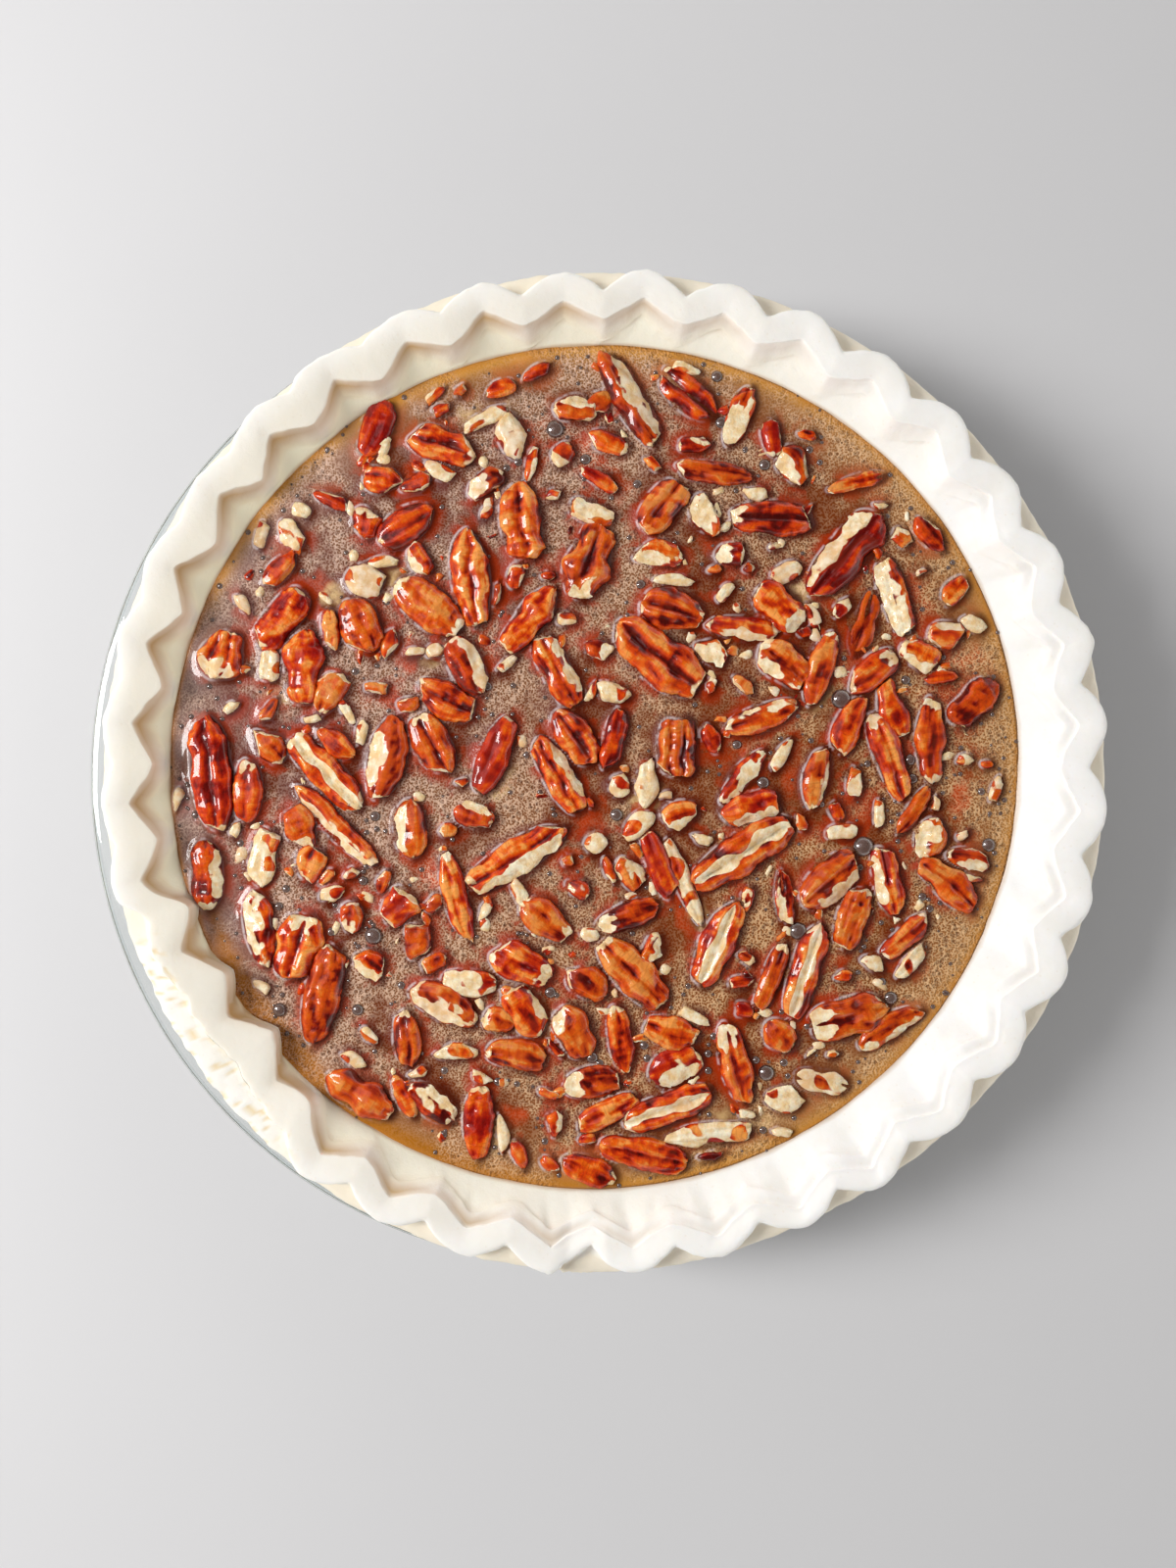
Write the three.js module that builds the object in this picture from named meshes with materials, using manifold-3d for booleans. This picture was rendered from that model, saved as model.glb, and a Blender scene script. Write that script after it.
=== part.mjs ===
// An unbaked pecan pie in its clear glass pie dish, in millimetres, +Z up.
// The origin is the centre of the dish's underside.
//
// The pie is built of four kinds of solid:
//   dish          a plain round glass pie dish with a narrow flange
//   crust         a raw pastry shell with a fluted ribbon of dough standing on its flange
//   filling       the syrup up to its level, with the broken nuts that are stuck in it
//   pecan_01 ...  the large pecan halves and pieces that float in the syrup
import * as THREE from 'three';
import { mergeVertices } from 'three/addons/utils/BufferGeometryUtils.js';
import Module from 'manifold-3d';

const wasm = await Module();
wasm.setup();

// ---- driving dimensions -------------------------------------------------------------------

const CLEARANCE = 0.3;          // gap between solids that touch
const ROUND_SIDES = 72;         // sides of the round solids

const DISH_RIM_RADIUS = 122.5;
const DISH_HEIGHT = 38;
const DISH_FLOOR = 5.5;
const DISH_BASE_RADIUS = 88;

// Where each flute peaks, in degrees round the ring: they are pressed by hand, so not quite even.
const FLUTE_PEAKS = [
  5.8, 15.6, 25.6, 35.6, 45.8, 55.6, 65.4, 75.4, 85.2, 95, 104.8, 114.6,
  124.6, 134.8, 144.2, 154.6, 164.2, 174, 183.7, 193.1, 202.9, 212.9, 223.1, 233.3,
  243.1, 253.1, 263.5, 273.3, 283.7, 294.2, 304.2, 315, 325.4, 335.4, 345, 355.4,
];
const FLUTES = FLUTE_PEAKS.length;
const BOWL_CENTRE = [4.05, 2.6];    // the pastry bowl lies a little off the dish's centre
const RING_CENTRE = [6.5, 1.0];     // and its fluted ring a little more
const DOUGH = 3.0;              // thickness of the pastry on the floor
const FLANGE_RADIUS = 124.2;    // outer edge of the pastry that lies on the dish's flange
const FLANGE_TOP = 41.6;
const RIBBON_TOP = 47;
const RIBBON_PEAK = 122.8;      // outer side of the ribbon at a flute's peak
const RIBBON_NOTCH = 118.1;     // outer side in the notch between two flutes
const RIBBON_GROOVE = 115.4;    // inner side at a flute's peak
const RIBBON_TIP = 108.6;       // inner side between two flutes
const RIBBON_EDGE = 0.9;        // rounding of the ribbon's top edges
const RIBBON_DIP = 1.4;         // its top slopes down to the inner side by this much

const SYRUP_LEVEL = 37;
const SYRUP_RADIUS = 106.3;     // radius of the pastry wall at the syrup's level

// The pastry's wall where it slumped inwards, in degrees round the ring.
const SLUMP = { from: 196, crest: 219, to: 232, inward: 4.6, drop: 2.4 };
// The flute whose tip is torn.
const TEAR = { at: 267, halfWidth: 3.4, inward: 1.6, drop: 1.6 };
// The side where the notches between the flutes are only half as deep.
const SHALLOW = { from: 100, full: 128, until: 205, to: 240, share: 0.5 };
const LIP_SLOPE = 1.38;         // how far the pastry leans out for each millimetre above the syrup

const DEGREE = Math.PI / 180;

// ---- meshes and solids --------------------------------------------------------------------

// A closed skin through rings of points, each ring going anticlockwise seen from the end where
// the list stops. A ring of one point is a pole. One ring may have twice the points of the next.
function skin(rings) {
  const points = rings.flat();
  const triangles = [];
  let start = 0;
  for (let k = 0; k + 1 < rings.length; k += 1) {
    const n = rings[k].length;
    const m = rings[k + 1].length;
    const a = (i) => start + (i % n);
    const b = (i) => start + n + (i % m);
    if (n === m) {
      for (let i = 0; i < n; i += 1) {
        triangles.push([a(i), a(i + 1), b(i + 1)], [a(i), b(i + 1), b(i)]);
      }
    } else if (m === 1) {
      for (let i = 0; i < n; i += 1) triangles.push([a(i), a(i + 1), b(0)]);
    } else if (n === 1) {
      for (let i = 0; i < m; i += 1) triangles.push([a(0), b(i + 1), b(i)]);
    } else if (m === 2 * n) {
      for (let i = 0; i < n; i += 1) {
        triangles.push([a(i), b(2 * i + 1), b(2 * i)]);
        triangles.push([a(i), a(i + 1), b(2 * i + 1)]);
        triangles.push([a(i + 1), b(2 * i + 2), b(2 * i + 1)]);
      }
    } else {
      for (let i = 0; i < m; i += 1) {
        triangles.push([b(i), a(2 * i), a(2 * i + 1)]);
        triangles.push([b(i), a(2 * i + 1), b(i + 1)]);
        triangles.push([b(i + 1), a(2 * i + 1), a(2 * i + 2)]);
      }
    }
    start += n;
  }
  const geometry = new THREE.BufferGeometry();
  geometry.setAttribute('position', new THREE.Float32BufferAttribute(points.flat(), 3));
  geometry.setIndex(triangles.flat());
  return geometry;
}

function toSolid(geometry) {
  const bare = geometry.clone();
  for (const name of Object.keys(bare.attributes)) {
    if (name !== 'position') bare.deleteAttribute(name);
  }
  const merged = mergeVertices(bare, 1e-4);
  return new wasm.Manifold(new wasm.Mesh({
    numProp: 3,
    vertProperties: Float32Array.from(merged.attributes.position.array),
    triVerts: Uint32Array.from(merged.index.array),
  }));
}

function toGeometry(solid) {
  const mesh = solid.getMesh();
  const geometry = new THREE.BufferGeometry();
  geometry.setAttribute('position', new THREE.BufferAttribute(mesh.vertProperties, 3));
  geometry.setIndex(new THREE.BufferAttribute(mesh.triVerts, 1));
  return geometry;
}

// The solid without the loose scraps that a cut may have left beside it.
function largestPiece(solid) {
  const pieces = solid.decompose();
  return pieces.reduce((best, piece) => (piece.volume() > best.volume() ? piece : best));
}

function smoothstep(low, high, x) {
  const t = Math.min(Math.max((x - low) / (high - low), 0), 1);
  return t * t * (3 - 2 * t);
}

// ---- the glass dish -----------------------------------------------------------------------

function dishGeometry() {
  const profile = [
    [0, 0], [DISH_BASE_RADIUS, 0], [91.5, 1.2], [95.8, 6],
    [DISH_RIM_RADIUS - 3, 33], [DISH_RIM_RADIUS, 35.4],
    [DISH_RIM_RADIUS - 1.1, DISH_HEIGHT], [DISH_RIM_RADIUS - 6.4, DISH_HEIGHT],
    [DISH_RIM_RADIUS - 8.9, DISH_HEIGHT - 3],
    [96, 14], [91.6, 8.2], [84, DISH_FLOOR], [0, DISH_FLOOR],
  ];
  const outline = profile.map(([radius, height]) => new THREE.Vector2(radius, height));
  const lathe = new THREE.LatheGeometry(outline, ROUND_SIDES);
  lathe.rotateX(Math.PI / 2);   // the lathe turns about Y, the dish stands on Z
  return lathe;
}

// ---- the pastry shell ---------------------------------------------------------------------

// How far the pastry has slumped at an angle round the ring, from 0 to 1.
function slump(degrees) {
  const rise = 0.5 * smoothstep(SLUMP.from - 1.5, SLUMP.from + 1.5, degrees)
    + 0.5 * smoothstep(SLUMP.from, SLUMP.crest, degrees);
  return rise * (1 - smoothstep(SLUMP.crest + 3, SLUMP.to, degrees));
}

// How much of the torn flute is missing at an angle, from 0 to 1.
function tear(degrees) {
  return 1 - smoothstep(0.3, 1, Math.abs(degrees - TEAR.at) / TEAR.halfWidth);
}

// The angle of a ring's column: the columns go in step with the flutes.
function columnAngle(column, sides) {
  const flute = Math.floor((column * FLUTES) / sides);
  const share = (column * FLUTES) / sides - flute;
  const peak = (i) => FLUTE_PEAKS[i % FLUTES] + (i >= FLUTES ? 360 : 0);
  return peak(flute) + share * (peak(flute + 1) - peak(flute));
}

// Distance from the nearest flute's peak: 0 on the peak, 1 in the notch.
function notchAt(degrees) {
  const before = FLUTE_PEAKS.filter((peak) => peak <= degrees);
  const flute = before.length > 0 ? before.length - 1 : FLUTES - 1;
  const start = before.length > 0 ? FLUTE_PEAKS[flute] : FLUTE_PEAKS[flute] - 360;
  const end = flute + 1 < FLUTES ? FLUTE_PEAKS[flute + 1] : FLUTE_PEAKS[0] + 360;
  const stop = before.length > 0 ? end : FLUTE_PEAKS[0];
  return 1 - Math.abs((2 * (degrees - start)) / (stop - start) - 1);
}

function ribbonOuter(degrees) {
  const notch = notchAt(degrees);
  const shallow = smoothstep(SHALLOW.from, SHALLOW.full, degrees)
    * (1 - smoothstep(SHALLOW.until, SHALLOW.to, degrees));
  const full = (RIBBON_PEAK - RIBBON_NOTCH) * (1 - SHALLOW.share * shallow);
  const depth = full * (1 - 0.5 * slump(degrees));
  const radius = RIBBON_PEAK - depth * notch ** 2.2;
  return radius - 1.3 * SLUMP.inward * slump(degrees) - TEAR.inward * tear(degrees);
}

function ribbonInner(degrees) {
  const groove = (1 - notchAt(degrees)) ** 1.5;
  const radius = RIBBON_TIP + (RIBBON_GROOVE - RIBBON_TIP) * groove;
  return radius - SLUMP.inward * slump(degrees);
}

function ribbonTop(degrees) {
  return RIBBON_TOP - SLUMP.drop * slump(degrees) - TEAR.drop * tear(degrees);
}

// One ring of points about a centre; radius and height are numbers or functions of the angle.
function ring(centre, radius, height, sides) {
  const at = (value, degrees) => (typeof value === 'function' ? value(degrees) : value);
  return Array.from({ length: sides }, (_, i) => {
    const degrees = columnAngle(i, sides) % 360;
    const r = at(radius, degrees);
    return [
      centre[0] + r * Math.cos(degrees * DEGREE),
      centre[1] + r * Math.sin(degrees * DEGREE),
      at(height, degrees),
    ];
  });
}

function crustGeometry() {
  const bowl = (radius, height) => ring(BOWL_CENTRE, radius, height, ROUND_SIDES);
  const flange = (radius, height) => ring(RING_CENTRE, radius, height, ROUND_SIDES);
  const fluted = (radius, height) => ring(RING_CENTRE, radius, height, 2 * ROUND_SIDES);
  const underside = DISH_FLOOR + CLEARANCE;
  const onFlange = DISH_HEIGHT + CLEARANCE;
  const floorTop = underside + DOUGH;
  // The ribbon's inner side goes straight down to the pastry that leans out from the syrup.
  const foot = (degrees) => {
    const x = RING_CENTRE[0] - BOWL_CENTRE[0] + ribbonInner(degrees) * Math.cos(degrees * DEGREE);
    const y = RING_CENTRE[1] - BOWL_CENTRE[1] + ribbonInner(degrees) * Math.sin(degrees * DEGREE);
    const rise = Math.max((Math.hypot(x, y) - SYRUP_RADIUS) / LIP_SLOPE, 0.8);
    return Math.min(SYRUP_LEVEL + rise, ribbonTop(degrees) - RIBBON_DIP - RIBBON_EDGE - 0.3);
  };
  // Each ring goes on from the last: out along the underside, over the ribbon, down the bowl.
  return skin([
    [[...BOWL_CENTRE, underside]],
    bowl(78, underside), bowl(86.5, 10), bowl(108, 35.2), bowl(109.2, onFlange),
    flange(113.6, onFlange), flange(FLANGE_RADIUS - 0.5, onFlange),
    flange(FLANGE_RADIUS, onFlange + 1.4), flange(FLANGE_RADIUS - 0.7, FLANGE_TOP),
    fluted(ribbonOuter, FLANGE_TOP + 0.2),
    fluted(ribbonOuter, (degrees) => ribbonTop(degrees) - RIBBON_EDGE),
    fluted((degrees) => ribbonOuter(degrees) - RIBBON_EDGE, ribbonTop),
    fluted((degrees) => ribbonInner(degrees) + RIBBON_EDGE, (degrees) => ribbonTop(degrees) - RIBBON_DIP),
    fluted(ribbonInner, (degrees) => ribbonTop(degrees) - RIBBON_DIP - RIBBON_EDGE),
    fluted(ribbonInner, foot),
    bowl(SYRUP_RADIUS, SYRUP_LEVEL), bowl(84.5, 12), bowl(76, floorTop),
    [[...BOWL_CENTRE, floorTop]],
  ]);
}

// ---- the nuts -----------------------------------------------------------------------------

// Cross-sections of a nut, as [across, up] pairs going anticlockwise from the left edge, each
// from -1 to 1 of its half width and half thickness.
const SECTIONS = {
  // the rounded side up, with its lengthwise groove between two ridges
  ridged: [[1, 0], [0.58, 0.86], [0, 0.55], [-0.58, 0.86], [-1, 0], [-0.6, -0.8], [0, -1], [0.6, -0.8]],
  // the inner side up: two lobes and a deep channel
  lobed: [[1, 0.1], [0.62, 0.9], [0, 0.15], [-0.62, 0.9], [-1, 0.1], [-0.6, -0.8], [0, -1], [0.6, -0.8]],
  // three ridges and two grooves
  triple: [[1, 0], [0.76, 0.72], [0.4, 0.5], [0, 0.92], [-0.4, 0.5], [-0.76, 0.72], [-1, 0],
    [-0.6, -0.8], [0, -1], [0.6, -0.8]],
  // a plain rounded back
  smooth: [[1, 0], [0.6, 0.8], [0, 1], [-0.6, 0.8], [-1, 0], [-0.6, -0.8], [0, -1], [0.6, -0.8]],
  // broken lengthwise, with a steep face on its right
  split: [[1, 0], [0.6, 0.8], [-0.1, 1], [-0.8, 0.6], [-0.95, -0.4], [-0.5, -0.9], [0, -1], [0.6, -0.8]],
  // a small broken piece
  chip: [[1, 0], [0.25, 0.95], [-0.8, 0.6], [-0.7, -0.7], [0.4, -0.9]],
};
const THICKNESS_OF_WIDTH = 0.62;
const THINNEST = 4.2;
const THICKEST = 7;

function nutThickness(width) {
  return Math.min(Math.max(THICKNESS_OF_WIDTH * width, THINNEST), THICKEST);
}

// Width of a nut along its length, as a share of its greatest: position goes from -1 to 1.
function taper(position) {
  return (1 - Math.abs(position) ** 2.3) ** 0.6;
}

// A nut lying along X. Its ends are round, or broken off square where blunt says 'end' or 'both'.
function nutGeometry({ length, width, section, blunt = '' }) {
  const first = blunt === 'both' ? -0.62 : -1;
  const last = blunt === '' ? 1 : 0.62;
  let stations = length > 19 ? [0.1, 0.36, 0.66, 0.91] : [0.13, 0.5, 0.87];
  if (section === 'chip') stations = [0.25, 0.75];
  const positions = stations.map((share) => first + share * (last - first));
  if (first > -1) positions[0] = first;
  if (last < 1) positions[positions.length - 1] = last;
  const across = width / 2;
  const up = nutThickness(width) / 2;
  const along = (position) => ((position - (first + last) / 2) / (last - first)) * length;
  const rings = positions.map((position) => SECTIONS[section].map(([v, h]) => {
    const share = taper(position);
    return [along(position), v * across * share, h * up * share ** 0.7];
  }));
  return skin([[[along(first), 0, 0]], ...rings, [[along(last), 0, 0]]]);
}

// Where a nut lies: heading turns it about Z, roll about its own length, and lift is how far its
// highest line stands above the syrup.
function nutPlace({ x, y, heading, width, lift, roll = 0 }) {
  const height = SYRUP_LEVEL + lift - 0.43 * nutThickness(width);
  const turn = new THREE.Euler(roll * DEGREE, 0, heading * DEGREE, 'ZYX');
  return new THREE.Matrix4().compose(
    new THREE.Vector3(x, y, height),
    new THREE.Quaternion().setFromEuler(turn),
    new THREE.Vector3(1, 1, 1),
  );
}

function nutSolid(nut) {
  return toSolid(nutGeometry(nut)).transform(nutPlace(nut).toArray());
}

// The room a large nut takes up with a gap all round: an eight-sided post a little wider than it.
function nutPocket(nut) {
  const half = nut.length / 2 + CLEARANCE;
  const side = nut.width / 2 + CLEARANCE;
  const [end, shoulder] = nut.blunt === '' ? [0.34, 0.62] : [0.86, 0.7];
  const outline = [
    [half, end * side], [shoulder * half, side], [-shoulder * half, side], [-half, end * side],
    [-half, -end * side], [-shoulder * half, -side], [shoulder * half, -side], [half, -end * side],
  ];
  const bottom = SYRUP_LEVEL + nut.lift - 0.95 * nutThickness(nut.width) - 0.8;
  const level = (z) => outline.map(([x, y]) => [x, y, z]);
  const post = skin([[[0, 0, bottom]], level(bottom), level(RIBBON_TOP), [[0, 0, RIBBON_TOP]]]);
  const turn = new THREE.Matrix4().makeRotationZ(nut.heading * DEGREE).setPosition(nut.x, nut.y, 0);
  return toSolid(post).transform(turn.toArray());
}

// The large nuts: x, y, heading, length, width, cross-section, lift, roll, blunt ends.
const LARGE_NUTS = [
  [20.8, 30.2, -38, 28, 12, 'lobed', 2.6, 0, ''],
  [41.2, -19, 33, 30.5, 10, 'lobed', 2.6, 8, ''],
  [-92, 0.7, 97, 30, 9.8, 'ridged', 3, 0, ''],
  [67, 56, 50, 28, 10.5, 'ridged', 2.4, 0, ''],
  [-16, -20.2, 33, 30, 8.5, 'ridged', 2.6, -8, ''],
  [13, 95, -60, 28, 8.5, 'split', 2.4, -10, ''],
  [-26.4, 50, -84, 25, 9.5, 'ridged', 2.4, 0, ''],
  [-63.2, 1.3, -46, 25, 8.6, 'lobed', 2.2, 0, ''],
  [-63.8, -54, 77, 26, 9, 'smooth', 2.6, 0, ''],
  [67.5, -60, 15, 21.5, 10.5, 'ridged', 2.4, 0, ''],
  [2.8, 54, 72, 21, 10.5, 'lobed', 2.8, 0, ''],
  [-48.2, 5, 78, 22.5, 9, 'smooth', 2.4, 0, ''],
  [16.4, -94.4, -12, 23, 8.4, 'ridged', 2, 0, ''],
  [22.4, -83, 20, 23.5, 8.6, 'lobed', 2.2, 0, ''],
  [-54.6, -79.6, -32, 20, 8.6, 'smooth', 2.6, 0, ''],
  [-14, 64, -82, 20.5, 10, 'ridged', 2.8, 0, ''],
  [-70.4, -42.2, 73, 18, 11, 'ridged', 2.8, 0, ''],
  [34.8, -41.8, 66, 24, 8.2, 'ridged', 2.4, 0, ''],
  [57, -49, 73, 26, 7.4, 'ridged', 2.4, 0, ''],
  [-37.4, 42.6, -38, 20.5, 9.5, 'smooth', 2.8, 0, ''],
  [63, -26, 42, 18.5, 10.2, 'ridged', 2.6, 0, ''],
  [-5, 0.5, -60, 21.5, 8.2, 'ridged', 2.6, 0, ''],
  [77.6, 5.2, -70, 23.5, 7.2, 'ridged', 2.4, 0, ''],
  [48, 64.6, -3, 22, 8.5, 'ridged', 2.4, 0, ''],
  [-34.4, 83, -18, 18, 9, 'ridged', 2.4, 0, ''],
  [27.6, 96.2, -40, 19.5, 8.8, 'lobed', 1, 0, ''],
  [13.4, -49, -46, 23.5, 9, 'ridged', 2.6, 0, ''],
  [-68.6, 27.6, 88, 19, 9.3, 'smooth', 2.6, 0, ''],
  [23.6, 41.8, -15, 16.5, 10.2, 'lobed', 2, 0, ''],
  [-5.2, 26.6, -62, 21, 8, 'ridged', 2.4, 0, ''],
  [-12.4, 39.4, 50, 20.5, 8, 'smooth', 2.8, 0, ''],
  [-74.4, 39.8, 52, 18.5, 9, 'smooth', 2.4, 0, ''],
  [-36.4, 8.4, -62, 17, 9.3, 'ridged', 2.4, 0, ''],
  [-33.6, -57.4, -28, 18.5, 9, 'split', 2.4, 0, ''],
  [-60.6, -12, -45, 28.5, 5.8, 'split', 2.2, 0, ''],
  [-32.8, 20, -28, 17, 8.8, 'ridged', 2.2, 0, ''],
  [79.2, 45.4, -72, 21, 7.5, 'split', 2.4, 0, ''],
  [-80.2, -38.2, -80, 19.5, 8, 'split', 2, 0, ''],
  [-93.4, -24.6, 92, 17.5, 8.2, 'smooth', 2.2, 0, ''],
  [-30.4, -30.2, -75, 24.5, 5.8, 'split', 1.8, 0, ''],
  [39.2, -71.8, -76, 21.5, 7.5, 'ridged', 2.2, 0, ''],
  [-0.8, 9.9, -55, 16.5, 8.2, 'lobed', 2.4, 0, ''],
  [-14, -47, -25, 17, 8.5, 'ridged', 2.4, 0, ''],
  [24.8, 7.3, 88, 17.5, 9.6, 'triple', 2.6, 0, 'both'],
  [21.2, 68, 52, 16, 9.4, 'ridged', 2.6, 0, 'end'],
  [-21.3, 5.5, 68, 21.5, 7, 'smooth', 2.2, 0, ''],
  [51.6, 28.2, -38, 15.5, 9.8, 'ridged', 2.6, 0, ''],
  [43.2, -7.6, 15, 16, 8.6, 'smooth', 2, 0, ''],
  [50.4, 43, -42, 15.5, 9.4, 'smooth', 2.8, 0, ''],
  [99, 19, 45, 15, 8.8, 'smooth', 2.2, 0, ''],
  [77.6, -25.8, -78, 18, 7.5, 'ridged', 2.2, 0, ''],
  [92.6, -27.2, -40, 19, 7.4, 'ridged', 2.2, 0, ''],
  [68.8, -35.4, 72, 17.5, 7.6, 'split', 2.4, 0, ''],
  [-24.8, -86.6, 88, 19, 7.4, 'smooth', 2.2, 0, ''],
  [33.2, -89.6, 6, 24, 6, 'smooth', 1.4, 0, ''],
  [-89, 31, 72, 14, 10.4, 'triple', 2.6, 0, 'end'],
  [-54.5, 38, -65, 14.5, 9.8, 'smooth', 2.8, 0, ''],
].map(([x, y, heading, length, width, section, lift, roll, blunt]) => (
  { x, y, heading, length, width, section, lift, roll, blunt }));

// The smaller broken pieces that are part of the filling: x, y, heading, length, width, lift.
const STUCK_NUTS = [
  [-45.2, -32.6, 45, 13, 9.5, 2], [-43, 63, 33, 16, 8.5, 2.2], [-28, 28, -62, 16, 8.6, 2.4],
  [-51, 87.5, 68, 15.5, 8.5, 2], [24.4, -72.2, 25, 14.5, 9.4, 2], [46, 15, 18, 19, 7, 1.8],
  [7.4, -83.6, 27, 18.5, 6.5, 2], [-1.2, -63.8, -62, 15, 9, 2.2], [-13.2, -58.6, -55, 14.5, 8.5, 2.2],
  [-15.6, -69.8, -8, 15.5, 8, 1.8], [-8, -35.8, -38, 15.5, 8, 2.2], [-41.6, -13, -88, 15, 8.5, 2.2],
  [61, 27, 72, 20, 6, 2.4], [79.2, 17.4, -72, 16, 6.6, 2], [74, 26.4, 40, 15, 7.6, 2.2],
  [68.4, 12.8, 68, 16, 6.3, 2], [88.6, 9.5, 90, 22, 7, 2], [71.4, 38.6, 72, 18, 6.5, 0.6],
  [41.2, 37.4, -8, 19.5, 6, 1.5], [26.6, -26.2, -68, 25, 4.6, 1.2], [20.4, -21.8, -68, 18.5, 6.4, 2],
  [60, 0, 80, 16.5, 6.5, 2], [41.2, 0.2, 52, 17, 5.4, 1.4], [-27.6, -51, -5, 15, 7.2, 2],
  [61, -76.4, -12, 14.5, 6.5, 0.8], [78.6, -63.2, 31, 19, 6, 1.5], [2.8, -98.8, -22, 15, 6.8, 1.4],
  [3.6, -76.8, 8, 15, 8.4, 2], [10.4, -65.8, -80, 18, 6.4, 1.2], [23.2, -63.4, -15, 15, 7.4, 2],
  [-43.2, -65.8, -85, 15, 6.4, 1.8], [-36.8, -81.8, -35, 14.5, 8, 1.6], [-70, -12.6, -72, 13, 8, 2.4],
  [-78.4, -19.8, 80, 15, 7, 2], [-83, -3.5, 88, 17, 7.2, 2], [-67.2, -21.8, 70, 11, 6.8, 1.8],
  [8.6, 9.8, 75, 16, 5.4, 2], [12.4, -34.6, 18, 16, 6.8, 2], [81.6, -39.8, 42, 16, 5.4, 1.8],
  [83.2, -46.2, 52, 13.5, 5, 1.2], [52, -30.2, -83, 16, 5.2, 0.8], [48.2, -50.2, 68, 18.5, 5, 2],
  [34, 76.4, -7, 20, 5.8, 1.8], [40.4, 90.6, 68, 17, 6, 1.8], [54, 77.6, -60, 11.5, 9, 2.2],
  [32, 65.4, -70, 12, 8.6, 2], [88.4, -15.4, 70, 11, 8.8, 2.4], [-16.8, 85.8, -60, 13, 7.8, 2],
  [-48.8, 74.6, -10, 10.5, 8.6, 1.8], [70, 73.8, 15, 16.5, 4, 0.8], [85.6, 30.6, -25, 10.5, 8.4, 2.2],
  [92.4, 35.6, 0, 9.5, 8.4, 2.2], [20, 55.8, -8, 13.5, 8, 1.8], [3, 66.5, -20, 13, 6.4, 2],
  [-62, 21.8, 65, 12.5, 8, 2], [-61, 9.2, -40, 12, 6, 2], [-53.5, 50, -35, 12, 8.8, 1.8],
  [-74.4, 52.2, 45, 12, 6.4, 1.8], [-77.2, 7.8, -45, 12, 7.2, 1.8], [-62.4, 37.8, -85, 12.5, 4.8, 2],
  [-40, 54.2, -60, 10.5, 6, 2], [-26.4, -9.4, -20, 11, 7, 2], [-40.4, -40.6, -80, 11, 8, 2],
  [25.6, -9.8, 20, 10.5, 7, 2], [2, -51.5, -30, 12, 8.8, 2], [50.8, -65, -50, 10, 8.6, 2],
  [51.5, -80.5, -10, 11, 7.2, 0.8], [98.4, -20.6, -12, 12.5, 6, 1.4], [-0.4, 92, -10, 11.5, 7.4, 2],
  [16.8, -1, 85, 13.5, 5.4, 1.6], [84, -8.2, 56, 15, 4.2, 1.2], [13, -24, -60, 10.5, 7, 1.6],
  [-23.2, 73.2, 35, 10.5, 6.4, 2], [38.4, 56.2, 0, 8.5, 6.5, 2.2], [33.6, 31.4, -35, 9.6, 7, 2],
  [-72, 60.5, -60, 9.5, 7, 1.6], [-77.4, 28.2, 85, 9, 6, 1.6], [48.6, 85.8, -82, 10.5, 6, 1.8],
  [88.4, 61.2, -50, 11, 6, 1.6], [8.8, 21, -22, 9.5, 6, 1.8], [-44.2, -80, -62, 12.5, 5.2, 1.2],
  [18.4, -43.4, 60, 9, 6.4, 1.8], [-52.5, -46.5, -35, 10, 7.8, 2],
  [-56.8, -35, 80, 8.5, 7, 2], [-20, -61, -15, 8.5, 7, 2], [52, 51, 28, 10, 5.4, 1.8],
  [-53, 63.8, 80, 9.5, 8, 1.8],
  [95.2, 47, 50, 10, 6.4, 1], 
].map(([x, y, heading, length, width, lift]) => (
  { x, y, heading, length, width, lift, section: 'chip' }));

// ---- the syrup ----------------------------------------------------------------------------

// The inside of the pastry bowl, short of its wall by a gap, up to a height.
function bowlRoom(gap, top) {
  const bowl = (radius, height) => ring(BOWL_CENTRE, radius - gap, height, ROUND_SIDES);
  const floor = DISH_FLOOR + CLEARANCE + DOUGH + gap;
  const rings = [[[...BOWL_CENTRE, floor]], bowl(76, floor), bowl(84.5, 12 + gap)];
  rings.push(bowl(SYRUP_RADIUS, SYRUP_LEVEL));
  if (top > SYRUP_LEVEL) rings.push(bowl(SYRUP_RADIUS, top));
  rings.push([[...BOWL_CENTRE, top]]);
  return toSolid(skin(rings));
}

// ---- assembly -----------------------------------------------------------------------------

const MATERIALS = {
  glass: new THREE.MeshStandardMaterial({
    color: 0xdfe8ea, roughness: 0.05, metalness: 0, transparent: true, opacity: 0.35,
  }),
  dough: new THREE.MeshStandardMaterial({ color: 0xf4eedf, roughness: 0.6, metalness: 0 }),
  syrup: new THREE.MeshStandardMaterial({ color: 0xa0805c, roughness: 0.25, metalness: 0 }),
  pecan: new THREE.MeshStandardMaterial({ color: 0xa63f12, roughness: 0.2, metalness: 0 }),
};

function addPiece(group, name, geometry, material) {
  const mesh = new THREE.Mesh(geometry, MATERIALS[material].clone());
  mesh.name = name;
  group.add(mesh);
  return mesh;
}

const pie = new THREE.Group();
addPiece(pie, 'dish', dishGeometry(), 'glass');
addPiece(pie, 'crust', crustGeometry(), 'dough');

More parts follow.
